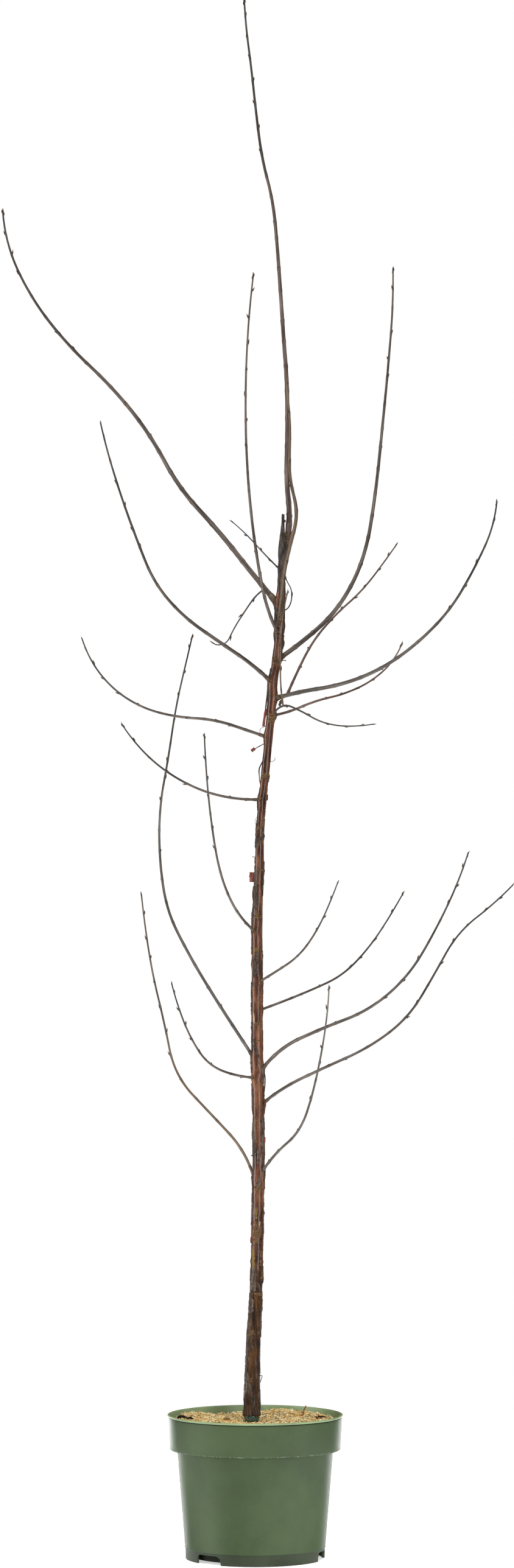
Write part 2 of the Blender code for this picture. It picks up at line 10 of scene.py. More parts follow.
import bpy
import numpy as np
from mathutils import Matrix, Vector

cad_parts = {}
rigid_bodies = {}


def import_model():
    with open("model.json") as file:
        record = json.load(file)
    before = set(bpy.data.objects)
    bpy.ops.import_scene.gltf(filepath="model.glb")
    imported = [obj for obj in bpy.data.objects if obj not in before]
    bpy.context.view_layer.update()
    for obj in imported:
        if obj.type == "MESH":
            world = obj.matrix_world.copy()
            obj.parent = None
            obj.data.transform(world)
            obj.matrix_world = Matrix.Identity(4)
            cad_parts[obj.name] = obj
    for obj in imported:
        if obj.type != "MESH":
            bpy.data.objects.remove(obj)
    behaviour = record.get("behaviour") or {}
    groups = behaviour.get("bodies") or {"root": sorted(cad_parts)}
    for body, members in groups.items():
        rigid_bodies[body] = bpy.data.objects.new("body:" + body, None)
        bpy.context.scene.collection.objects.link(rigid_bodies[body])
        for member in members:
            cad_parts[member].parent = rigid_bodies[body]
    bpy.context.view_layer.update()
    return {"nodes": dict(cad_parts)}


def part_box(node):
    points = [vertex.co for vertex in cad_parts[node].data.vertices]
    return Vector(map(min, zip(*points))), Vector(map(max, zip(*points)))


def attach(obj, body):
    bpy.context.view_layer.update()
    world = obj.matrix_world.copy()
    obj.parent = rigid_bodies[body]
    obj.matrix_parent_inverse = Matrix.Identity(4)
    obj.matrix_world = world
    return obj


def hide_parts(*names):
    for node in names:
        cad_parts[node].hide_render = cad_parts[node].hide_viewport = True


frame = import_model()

POT_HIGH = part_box("pot")[1]

# ---------------------------------------------------------------- camera and stage
CAMERA_DISTANCE = 9.5
CAMERA_HEIGHT = 1.2715
CAMERA_ACROSS = 0.003
FRAME_HEIGHT = 2.576          # metres of the stem's plane that the picture's long side takes in
SENSOR = 36.0
FLOOR_RADIUS = 2.3
DOME_RADIUS = 40.0

# ---------------------------------------------------------------- the pot, repeated from its solids
MM = 0.001
POT_HEIGHT = POT_HIGH.z
POT_RIM_RADIUS = POT_HIGH.x
POT_WALL = 2.2 * MM
POT_LIP = 4.2 * MM
BAND_RADIUS = 140.5 * MM
BAND_HEIGHT = 179.0 * MM
SHOULDER_RADIUS = 128.2 * MM
HEEL_RADIUS = 115.4 * MM
HEEL_HEIGHT = 20.0 * MM
FOOT_RADIUS = 114.0 * MM
FOOT_RING = 4.0 * MM
PAD_RADIUS = 80.0 * MM
CHANNEL_HEIGHT = 16.5 * MM
# The wall inside the foot ring takes painted shade, so that the notches look into a dark recess.
RECESS_RADIUS = 104.6 * MM    # a thin wall inside the foot ring closes the view through the notches
RECESS_HEIGHT = 4.0 * MM
NOTCH_AZIMUTHS = (-133.0, -13.0, 107.0)
NOTCH_WIDTH = 50.0 * MM
NOTCH_HEIGHT = 15.0 * MM
NOTCH_SLANT = 4.2 * MM        # how far the right side of a notch leans out at the foot of its cutter
NOTCH_BELOW = 10.0 * MM       # how far a notch's cutter reaches under the pot
NOTCH_OUTSIDE = 12.0 * MM     # and beyond its foot
DRAIN_RADIUS = 4.5 * MM
DRAIN_CIRCLE = 96.0 * MM
DRAIN_SWINGS = (40.0, 80.0)   # degrees round from each notch
DRAIN_SIDES = 20
DRAIN_MARGIN = 6.0 * MM
POT_SEGMENTS = 144
SEAT_GAP = 0.3 * MM

# ---------------------------------------------------------------- the tree, repeated from its solids
# height above the ground, lean to the right, lean to the back, diameter
TRUNK = (
    (0.2205, -0.0055, 0.0000, 0.0300),
    (0.2500, -0.0060, 0.0005, 0.0270),
    (0.3200, -0.0040, 0.0020, 0.0230),
    (0.4600, 0.0025, 0.0040, 0.0205),
    (0.6600, 0.0060, 0.0040, 0.0194),
    (0.8400, 0.0035, 0.0010, 0.0192),
    (0.9600, 0.0030, -0.0010, 0.0176),
    (1.0500, 0.0032, -0.0020, 0.0170),
    (1.1100, 0.0060, -0.0030, 0.0146),
    (1.2100, 0.0085, -0.0040, 0.0130),
    (1.3350, 0.0210, -0.0030, 0.0130),
    (1.4400, 0.0300, 0.0000, 0.0136),
    (1.5100, 0.0392, 0.0010, 0.0140),
    (1.6000, 0.0430, 0.0020, 0.0126),
    (1.6590, 0.0448, 0.0030, 0.0126),
    (1.6793, 0.0445, 0.0030, 0.0071),
    (1.7150, 0.0462, 0.0030, 0.0056),
)
FLARE_LOBES = 3
FLARE_DEPTH = 0.07
FLARE_HEIGHT = 0.05
FLARE_TURN = 0.6              # radians by which the lobes are turned

# name: what it grows on, its height on the trunk or distance along the limb, its length, its diameter at
# the foot and the tip, the shares of its length at which the bough (and an upper bough) ends, then its
# climb and its heading in degrees at even stations from foot to tip (heading 0 is +X, 90 is +Y).
# All of it repeats the solids.  The heights, lengths, climbs and headings weren't chosen by hand: a scratch
# program fitted them by least squares to points along the limbs in the photograph, and they were rounded.
# What a limb grows on, its diameters and its shares were given one by one, and the leader's first two climbs
# were changed by trial.
LIMBS = {
    "left_1": ("trunk", 0.623, 0.524, 0.0046, 0.0024, (0.45,),
               (74, 45, 44, 78, 73, 77, 78), (166, 156, 121)),
    "left_2": ("trunk", 0.789, 0.295, 0.0042, 0.0022, (0.40,),
               (5, 17, 43, 50, 50), (-141, -106)),
    "left_3": ("trunk", 0.821, 0.792, 0.0054, 0.0024, (0.30, 0.60),
               (50, 50, 52, 57, 72, 71, 68, 74, 67, 68), (143, 141, 64, 55)),
    "left_4": ("trunk", 1.030, 0.429, 0.0044, 0.0022, (0.42,),
               (27, 42, 52, 52, 56, 56), (-127, -101, -93)),
    "left_5": ("trunk", 1.246, 0.290, 0.0046, 0.0021, (0.42,),
               (-1, 9, 21, 31, 42, 52), (-158, -146)),
    "left_6": ("trunk", 1.349, 0.417, 0.0052, 0.0022, (0.45,),
               (17, 16, 3, 12, 28, 47, 69), (149, 148)),
    "left_7": ("trunk", 1.440, 0.556, 0.0064, 0.0024, (0.45,),
               (39, 29, 29, 42, 63, 65, 68, 73), (-148, -137)),
    "left_8": ("trunk", 1.519, 0.641, 0.0054, 0.0024, (0.45,),
               (39, 60, 62, 65, 66, 67, 65), (-116, -97, -74)),
    "left_9": ("trunk", 1.568, 0.805, 0.0088, 0.0028, (0.35, 0.65),
               (49, 52, 47, 62, 51, 43, 52, 65, 86), (174, 172)),
    "right_1": ("trunk", 0.634, 0.410, 0.0046, 0.0022, (0.40,),
                (49, 29, 55, 57, 55, 60), (-43, -69, -86)),
    "right_2": ("trunk", 0.746, 0.571, 0.0052, 0.0022, (0.45,),
                (39, 24, 23, 36, 58, 60, 36, 44), (12, 17)),
    "right_3": ("trunk", 0.802, 0.540, 0.0060, 0.0022, (0.45,),
                (51, 23, 20, 39, 57, 62, 70), (-25, -31)),
    "right_4": ("trunk", 0.900, 0.413, 0.0042, 0.0022, (0.42,),
                (13, 14, 16, 34, 44, 48), (45, 50)),
    "right_5": ("trunk", 0.947, 0.311, 0.0040, 0.0020, (0.40,),
                (23, 22, 36, 42, 39), (-49, -74)),
    "right_6": ("trunk", 1.384, 0.297, 0.0044, 0.0022, (0.42,),
                (9, 20, 11, 21, 37, 63), (35, 34)),
    "right_7": ("trunk", 1.412, 0.530, 0.0072, 0.0024, (0.30, 0.60),
                (16, 8, 21, 35, 45, 59, 64, 84), (-14, -20)),
    "right_8": ("right_7", 0.021, 0.374, 0.0044, 0.0022, (0.42,),
                (54, 52, 38, 32, 44, 48), (54, 40)),
    "right_9": ("trunk", 1.477, 0.771, 0.0078, 0.0028, (0.30, 0.62),
                (27, 32, 52, 75, 80, 80, 81, 91), (44, 61)),
    "front": ("trunk", 1.534, 0.428, 0.0076, 0.0030, (0.50,),
              (58, 84, 75, 75, 106, 91, 83, 82, 93), (-89, 26, -208)),
    "leader": ("trunk", 1.669, 0.904, 0.0084, 0.0028, (0.30, 0.62),
               (78, 99, 84, 87, 83, 85, 85, 84, 74, 82, 83, 81, 86), (15, 131, 156, 141)),
    "twig_low": ("trunk", 1.384, 0.214, 0.0034, 0.0018, (),
                 (62, -19, -26, -10, 1, 7), (-37, -36)),
    "twig_front": ("twig_low", 0.027, 0.188, 0.0028, 0.0017, (),
                   (79, 87, 84, 76), (-153, 12)),
    "twig_hook": ("twig_front", 0.158, 0.069, 0.0022, 0.0015, (),
                  (-13, 63, 81, 48, 72), (87, -89, -171)),
    "twig_back": ("trunk", 1.624, 0.149, 0.0027, 0.0016, (),
                  (33, 37, 30), (130, 131)),
    "twig_hanging": ("left_9", 0.032, 0.144, 0.0028, 0.0017, (),
                     (-27, -51, -54, -63, 34), (-144, -157)),
}
WALK_STEPS = 64
LIMB_FOOT = 0.75              # share of the trunk's radius at which a limb's line starts
LEADER_FOOT = 1.5             # and at which the leader's does
TAPER_POWER = 0.9
COLLAR_LEAST = 9.0 * MM
COLLAR_CLEAR = 1.2 * MM
COLLAR_STEP = 0.5 * MM
HOST_STEP = 1.5 * MM          # how finely a host limb is searched on both sides of where a limb leaves it
HOST_STEPS = 40
BUD_SEED = 41
BUD_FIRST = (0.35, 0.80)      # share of the least spacing at which the first bud sits
BUD_LAST = 16.0 * MM          # no bud of the rule sits nearer the tip than this
BUD_SPACING = (30.0 * MM, 46.0 * MM)
BUD_TURN = 144.0
BUD_SWAY = 15.0
BUD_ANGLE = (22.0, 34.0)
BUD_LENGTH = (8.5 * MM, 10.5 * MM)


# ---------------------------------------------------------------- colours
GRAIN = "grain"               # the attribute that says where a finish's grain runs
COAT_ROUGHNESS = 0.16
SPECK_EDGE = 0.06             # how softly a speck ends
WORN_RANGE = (0.50, 0.62)     # the noise between which a belt goes from whole to worn


def tone(red, green, blue):
    """A colour given as it looks on a screen, 0 to 255, turned into the linear one that a shader takes."""
    return tuple((c / 255.0 / 12.92) if c < 11 else ((c / 255.0 + 0.055) / 1.055) ** 2.4
                 for c in (red, green, blue))


def surface(name, tones, size=0.012, stretch=(1.0, 1.0, 1.0), rough=(0.4, 0.6), shine=0.5, coat=0.0,
            grain=0.0008, depth=0.25, speck=None, belt=None, spread=0.30, deep=0.0004):
    """A finish whose colour wanders between tones over patches of a size, with a fine bumpy grain.

    speck is (colour, size, threshold, amount) and belt, a worn line round the piece, is (colour, height,
    half its height, size of its patches, amount).
    """
    made = bpy.data.materials.new(name)
    made.use_nodes = True
    tree = made.node_tree
    nodes = tree.nodes
    link = tree.links.new

    def noise(scale, detail, vector, rough_part=0.6):
        found = nodes.new("ShaderNodeTexNoise")
        found.inputs["Scale"].default_value = scale
        found.inputs["Detail"].default_value = detail
        found.inputs["Roughness"].default_value = rough_part
        link(vector, found.inputs["Vector"])
        return found.outputs["Fac"]

    def ranged(value, low, high, to_low, to_high):
        found = nodes.new("ShaderNodeMapRange")
        found.inputs["From Min"].default_value = low
        found.inputs["From Max"].default_value = high
        found.inputs["To Min"].default_value = to_low
        found.inputs["To Max"].default_value = to_high
        link(value, found.inputs["Value"])
        return found.outputs["Result"]

    def mixed(amount, colour, shade):
        found = nodes.new("ShaderNodeMix")
        found.data_type = "RGBA"
        found.inputs[7].default_value = shade + (1.0,)
        link(amount, found.inputs[0])
        link(colour, found.inputs[6])
        return found.outputs[2]

    shader = nodes["Principled BSDF"]
    shader.inputs["Specular IOR Level"].default_value = shine
    shader.inputs["Coat Weight"].default_value = coat
    shader.inputs["Coat Roughness"].default_value = COAT_ROUGHNESS
    place = nodes.new("ShaderNodeAttribute")
    place.attribute_name = GRAIN
    scaled = nodes.new("ShaderNodeMapping")
    scaled.inputs["Scale"].default_value = stretch
    link(place.outputs["Vector"], scaled.inputs["Vector"])
    cloud = noise(1.0 / size, 5.0, scaled.outputs["Vector"])
    ramp = nodes.new("ShaderNodeValToRGB")
    stops = ramp.color_ramp.elements
    while len(stops) < len(tones):
        stops.new(0.5)
    for k, shade in enumerate(tones):
        stops[k].position = 0.5 + spread * (k / max(len(tones) - 1, 1) - 0.5)
        stops[k].color = shade + (1.0,)
    link(cloud, ramp.inputs["Fac"])
    colour = ramp.outputs["Color"]
    if speck:
        fleck_tone, fleck_size, least, amount = speck
        dots = noise(1.0 / fleck_size, 2.0, place.outputs["Vector"])
        colour = mixed(ranged(dots, least, least + SPECK_EDGE, 0.0, amount), colour, fleck_tone)
    if belt:
        worn_tone, height, half, patch, amount = belt
        split = nodes.new("ShaderNodeSeparateXYZ")
        link(place.outputs["Vector"], split.inputs["Vector"])
        away = nodes.new("ShaderNodeMath")
        away.operation = "COMPARE"
        away.inputs[1].default_value = height
        away.inputs[2].default_value = half
        link(split.outputs["Z"], away.inputs[0])
        worn = ranged(noise(1.0 / patch, 4.0, place.outputs["Vector"]), *WORN_RANGE, 0.0, amount)
        both = nodes.new("ShaderNodeMath")
        both.operation = "MULTIPLY"
        link(away.outputs["Value"], both.inputs[0])
        link(worn, both.inputs[1])
        colour = mixed(both.outputs["Value"], colour, worn_tone)
    link(colour, shader.inputs["Base Color"])
    link(ranged(cloud, 0.3, 0.7, rough[0], rough[1]), shader.inputs["Roughness"])
    bump = nodes.new("ShaderNodeBump")
    bump.inputs["Strength"].default_value = depth
    bump.inputs["Distance"].default_value = deep
    link(noise(1.0 / grain, 3.0, scaled.outputs["Vector"]), bump.inputs["Height"])
    link(bump.outputs["Normal"], shader.inputs["Normal"])
    return made


# ---------------------------------------------------------------- gathering meshes
class Bag:
    """Points, faces, the finish each face takes and where its grain runs, gathered for one joined mesh."""

    def __init__(self):
        self.points = []
        self.faces = []
        self.kinds = []
        self.grains = []
        self.count = 0

    def add(self, points, faces, kinds, grain=None):
        """faces are rows of corners among these points; kinds is one finish for all, or one for each."""
        points = np.asarray(points, float).reshape(-1, 3)
        self.points.append(points)
        self.grains.append(points if grain is None else np.asarray(grain, float).reshape(-1, 3))
        for corners, kind in ((faces, kinds),) if not isinstance(faces, list) else zip(faces, kinds):
            corners = np.asarray(corners, int)
            self.faces.append(corners + self.count)
            self.kinds.append(np.broadcast_to(np.asarray(kind, int), (len(corners),)))
        self.count += len(points)

    def build(self, name, finishes, smooth=True):
        """One mesh object of all that was added."""
        points = np.concatenate(self.points)
        faces = [face for group in self.faces for face in group.tolist()]
        mesh = bpy.data.meshes.new(name)
        mesh.from_pydata(points.tolist(), [], faces)
        for finish in finishes:
            mesh.materials.append(finish)
        mesh.polygons.foreach_set("material_index", np.concatenate(self.kinds).astype(np.int32))
        mesh.polygons.foreach_set("use_smooth", np.full(len(faces), smooth))
        grain = mesh.attributes.new(GRAIN, "FLOAT_VECTOR", "POINT")
        grain.data.foreach_set("vector", np.concatenate(self.grains).astype(np.float32).ravel())
        mesh.update()
        made = bpy.data.objects.new(name, mesh)
        bpy.context.scene.collection.objects.link(made)
        return made


def lumps(points, cell, seed=0):
    """Smooth noise from -1 to 1 at each point, in lumps about one cell across."""
    spot = np.asarray(points, float) / cell + 1000.0
    low = np.floor(spot).astype(np.int64)
    part = spot - low
    part = part * part * (3.0 - 2.0 * part)
    total = np.zeros(len(spot))
    for corner in range(8):
        step = np.array([corner & 1, corner >> 1 & 1, corner >> 2 & 1])
        key = (low + step) @ np.array([73856093, 19349663, 83492791]) + seed * 7919
        key = (key ^ (key >> 13)) * 1274126177 & 0x7FFFFFFF
        key = (key ^ (key >> 16)) * 668265263 & 0x7FFFFFFF
        weight = np.prod(np.where(step == 1, part, 1.0 - part), axis=1)
        total += weight * ((key >> 8 & 0xFFFF) / 32767.5 - 1.0)
    return total


def grid_faces(rows, sides):
    """Corners of the quads of a closed tube of rings."""
    row = np.arange(rows - 1)[:, None] * sides
    here = np.arange(sides)[None, :]
    after = (here + 1) % sides
    corners = np.stack([row + here, row + after, row + sides + after, row + sides + here], axis=-1)
    return corners.reshape(-1, 4)


def fan(centre, ring, flip):
    """Triangles that close a ring of points on a centre point."""
    after = np.roll(ring, -1)
    middle = np.full(len(ring), centre)
    return np.stack([after, ring, middle] if flip else [ring, after, middle], axis=-1)


def even_turns(sides):
    """The turns of a ring's points, in radians."""
    return 2.0 * math.pi * np.arange(sides) / sides


def add_tube(bag, points, ends, sides, walls, first, last, grain=None):
    """Rings of points closed on a point at each end, with finishes for the walls and for the two ends."""
    points = np.asarray(points).reshape(-1, 3)
    ring = np.arange(sides)
    total = len(points)
    bag.add(np.concatenate([points, ends]),
            [grid_faces(total // sides, sides), fan(total, ring, True),
             fan(total + 1, ring + total - sides, False)], [walls, first, last], grain)


# ---------------------------------------------------------------- the limbs' rule
def at_stations(values, share):
    """The value at a share of the way through values at even stations."""
    place = min(max(share, 0.0), 1.0) * (len(values) - 1)
    first = min(int(place), len(values) - 2)
    return values[first] + (values[first + 1] - values[first]) * (place - first)


def trunk_centre(height):
    """The middle of the trunk at a height, and its radius there."""
    for low, high in zip(TRUNK, TRUNK[1:]):
        if height <= high[0]:
            break
    share = min(max((height - low[0]) / (high[0] - low[0]), 0.0), 1.0)
    lean = [low[k] + (high[k] - low[k]) * share for k in (1, 2, 3)]
    return Vector((lean[0], lean[1], height)), lean[2] / 2.0


class Limb:
    """The centre line and radius of one limb, from its foot to its tip."""

    def __init__(self, name, grown):
        self.name = name
        self.on, at, self.length, self.foot, self.tip, self.splits, climbs, headings = LIMBS[name]
        self.at = at
        if self.on == "trunk":
            centre, radius = trunk_centre(at)
            turn = math.radians(headings[0])
            reach = radius * (LEADER_FOOT if name == "leader" else LIMB_FOOT)
            start = centre + Vector((math.cos(turn), math.sin(turn), 0.0)) * reach
        else:
            start = grown[self.on].place(at)
        self.heading = headings[0]
        self.points = [start]
        step = self.length / WALK_STEPS
        for k in range(WALK_STEPS):
            share = (k + 0.5) / WALK_STEPS
            climb = math.radians(at_stations(climbs, share))
            turn = math.radians(at_stations(headings, share))
            level = math.cos(climb)
            way = Vector((level * math.cos(turn), level * math.sin(turn), math.sin(climb)))
            self.points.append(self.points[-1] + way * step)

    def place(self, distance):
        """The point of the centre line at a distance from the foot."""
        walk = distance / self.length * WALK_STEPS
        first = min(max(int(walk), 0), WALK_STEPS - 1)
        return self.points[first].lerp(self.points[first + 1], walk - first)

    def way(self, distance):
        """The direction in which the limb runs at a distance from the foot."""
        reach = self.length / WALK_STEPS
        low = max(distance - reach, 0.0)
        high = min(distance + reach, self.length)
        return (self.place(high) - self.place(low)).normalized()

    def radius(self, distance):
        share = min(max(1.0 - distance / self.length, 0.0), 1.0)
        return (self.tip + (self.foot - self.tip) * share ** TAPER_POWER) / 2.0


def clearance(limb, limbs, distance):
    """How far the limb's bark is from the bark of what it grows on."""
    spot = limb.place(distance)
    if limb.on == "trunk":
        centre, radius = trunk_centre(spot.z)
        return math.hypot(spot.x - centre.x, spot.y - centre.y) - radius - limb.radius(distance)
    host = limbs[limb.on]
    gaps = []
    for k in range(-HOST_STEPS, HOST_STEPS + 1):
        along = min(max(limb.at + k * HOST_STEP, 0.0), host.length)
        gaps.append((spot - host.place(along)).length - host.radius(along))
    return min(gaps) - limb.radius(distance)


def collar_end(limb, limbs):
    """Where the limb's own solid starts, clear of the collar it grows out of."""
    distance = COLLAR_LEAST
    while clearance(limb, limbs, distance) < COLLAR_CLEAR and distance < limb.length / 3:
        distance += COLLAR_STEP
    return distance


def cuts_of(limb):
    """The ends of the limb's solids, as distances from its foot."""
    return [limb.start + SEAT_GAP] + [limb.length * share for share in limb.splits] + [limb.length]


def bud_places(limb, rng):
    """Each bud of the whip: its distance, its turn round the shoot, its lean and its length."""
    cuts = cuts_of(limb)
    low = cuts[-2] + (SEAT_GAP if len(cuts) > 2 else 0.0)
    high = cuts[-1]
    found = []
    turn = rng.uniform(0.0, 360.0)
    distance = low + rng.uniform(*BUD_FIRST) * BUD_SPACING[0]
    while distance < high - BUD_LAST:
        lean = rng.uniform(*BUD_ANGLE)
        found.append((distance, turn, lean, rng.uniform(*BUD_LENGTH)))
        distance += rng.uniform(*BUD_SPACING)
        turn += BUD_TURN + rng.uniform(-BUD_SWAY, BUD_SWAY)
    return found


# ---------------------------------------------------------------- finishes
GLOSS, DULL, PEEL, FLAKE, OCHRE, PALE, OLIVE, DEAD, BRICK, TICK, SCAR, LOW = range(12)


def bark_finishes():
    """The finishes of the stem's bark, in the order of their numbers."""
    tall = (1.0, 1.0, 0.18)
    level = (1.0, 1.0, 3.0)
    rust = (tone(112, 78, 52), 0.0016, 0.56, 0.75)
    return [
        surface("bark_gloss", [tone(42, 21, 13), tone(88, 50, 32), tone(130, 82, 54)], size=0.009,
                stretch=tall, rough=(0.24, 0.36), shine=0.48, coat=0.18, grain=0.0014, depth=0.16,
                speck=(tone(160, 114, 74), 0.0013, 0.64, 0.5), spread=0.25),
        surface("bark_dull", [tone(42, 27, 20), tone(72, 48, 35), tone(98, 70, 52)], size=0.004,
                stretch=level, rough=(0.50, 0.70), shine=0.3, depth=0.6, spread=0.24),
        surface("bark_peel", [tone(33, 27, 23), tone(60, 50, 43), tone(94, 83, 72)], size=0.0026,
                stretch=tall, rough=(0.50, 0.75), shine=0.3, grain=0.0007, depth=0.8, speck=rust,
                spread=0.22, deep=0.0007),
        surface("bark_flake", [tone(56, 48, 43), tone(89, 78, 69), tone(126, 114, 101)], size=0.0026,
                stretch=tall, rough=(0.50, 0.75), shine=0.3, grain=0.0007, depth=0.7, speck=rust,
                spread=0.22, deep=0.0007),
        surface("bark_ochre", [tone(82, 60, 36), tone(120, 91, 54), tone(160, 130, 84)], size=0.0018,
                stretch=(1.0, 1.0, 1.6), rough=(0.60, 0.85), shine=0.25, grain=0.0006, depth=0.7,
                spread=0.22, deep=0.0006),
        surface("bark_pale", [tone(136, 120, 98), tone(176, 160, 134), tone(204, 190, 166)], size=0.004,
                stretch=tall, rough=(0.50, 0.70), shine=0.3, grain=0.0006, depth=0.4),
        surface("bark_olive", [tone(84, 62, 26), tone(112, 88, 32), tone(134, 110, 48)], size=0.005,
                stretch=tall, rough=(0.34, 0.54), shine=0.4, depth=0.3,
                speck=(tone(90, 54, 34), 0.0024, 0.54, 0.6)),
        surface("bark_dead", [tone(40, 34, 32), tone(72, 63, 58), tone(104, 93, 85)], size=0.003,
                stretch=tall, rough=(0.50, 0.70), shine=0.3, depth=0.7,
                speck=(tone(104, 84, 62), 0.0018, 0.62, 0.7), spread=0.26, deep=0.0006),
        surface("bark_brick", [tone(84, 38, 30), tone(118, 56, 45), tone(146, 84, 70)], size=0.004,
                stretch=tall, shine=0.35, depth=0.4, spread=0.24),
        surface("bark_tick", [tone(104, 76, 46), tone(142, 110, 70)], size=0.003, stretch=level,
                rough=(0.50, 0.70), shine=0.3, grain=0.0006, depth=0.3),
        surface("bark_scar", [tone(62, 44, 28), tone(98, 71, 44), tone(130, 98, 62)], size=0.0028,
                stretch=level, rough=(0.55, 0.80), shine=0.25, grain=0.0007, depth=0.7, spread=0.24,
                deep=0.0006),
        surface("bark_low", [tone(26, 16, 9), tone(60, 38, 19), tone(94, 61, 30)], size=0.006,
                stretch=tall, rough=(0.46, 0.60), shine=0.16, grain=0.0012, depth=0.35,
                speck=(tone(112, 80, 46), 0.0014, 0.64, 0.6), spread=0.26, deep=0.0005),
    ]


# ---------------------------------------------------------------- the stem
TRUNK_SIDES = 64
TRUNK_RING = 1.4 * MM
STUB_FROM = 1.650             # the broken top narrows to a stub here
STUB_RADII = ((1.640, 6.3 * MM), (1.656, 6.2 * MM), (1.664, 5.6 * MM), (1.671, 4.3 * MM), (1.678, 3.3 * MM),
              (1.692, 3.3 * MM), (1.700, 2.95 * MM), (1.713, 2.95 * MM), (1.7146, 2.6 * MM),
              (1.716, 1.9 * MM))
CROWN_RINGS = ((0.80, 0.3 * MM), (0.55, 0.3 * MM), (0.30, 0.0 * MM))
DEAD_FROM = 1.592
LOW_BELOW = 0.470             # below this the bark is dark and dull
PINCH = ((0.2205, 7.6 * MM), (0.2235, 9.6 * MM), (0.2280, 11.4 * MM), (0.2340, 12.0 * MM))
PINCH_HEIGHT = 0.2342         # below this the foot tucks in behind its green collar
EDGE_TURN = math.radians(112.0)               # a mark that reaches the outline goes on round to here
TRUNK_EASE = 12.0 * MM        # the corners of the trunk's line are eased over this
SLOW_LUMPS, SLOW_RISE = 14.0 * MM, 0.55       # size across, and rise in mm
FINE_LUMPS, FINE_RISE = 5.0 * MM, 0.18
SPLIT_SIZE = 3.6 * MM         # the splits at the foot, their depth, and how far up they reach
SPLIT_DEPTH = 1.0 * MM
SPLIT_REACH = 0.11
RIDGE_SIZE, RIDGE_RISE = 2.6 * MM, 0.40       # the ridges of the dead top, their rise in mm
EDGE_SIZE = 9.0 * MM          # the lumps by which one finish gives way to the next
SWIRL_SIZE = 2.4 * MM
WRINKLE_PITCH, WRINKLE_RISE = 0.40 * MM, 0.14 * MM
# how far the borders of the low and the dead bark wander up and down
LOW_WANDER, LOW_FRAY, DEAD_WANDER = 30.0 * MM, 45.0 * MM, 14.0 * MM
TOP_SLANT, TOP_DROP = 4.0 * MM, 0.8           # the broken top slants over this, by up to so many mm
# the swelling under a limb: its size and rise as shares of the limb's foot, and what is added to its size
SWELL_SIZE, SWELL_RISE, SWELL_MORE = 1.30, 0.42, 1.8 * MM

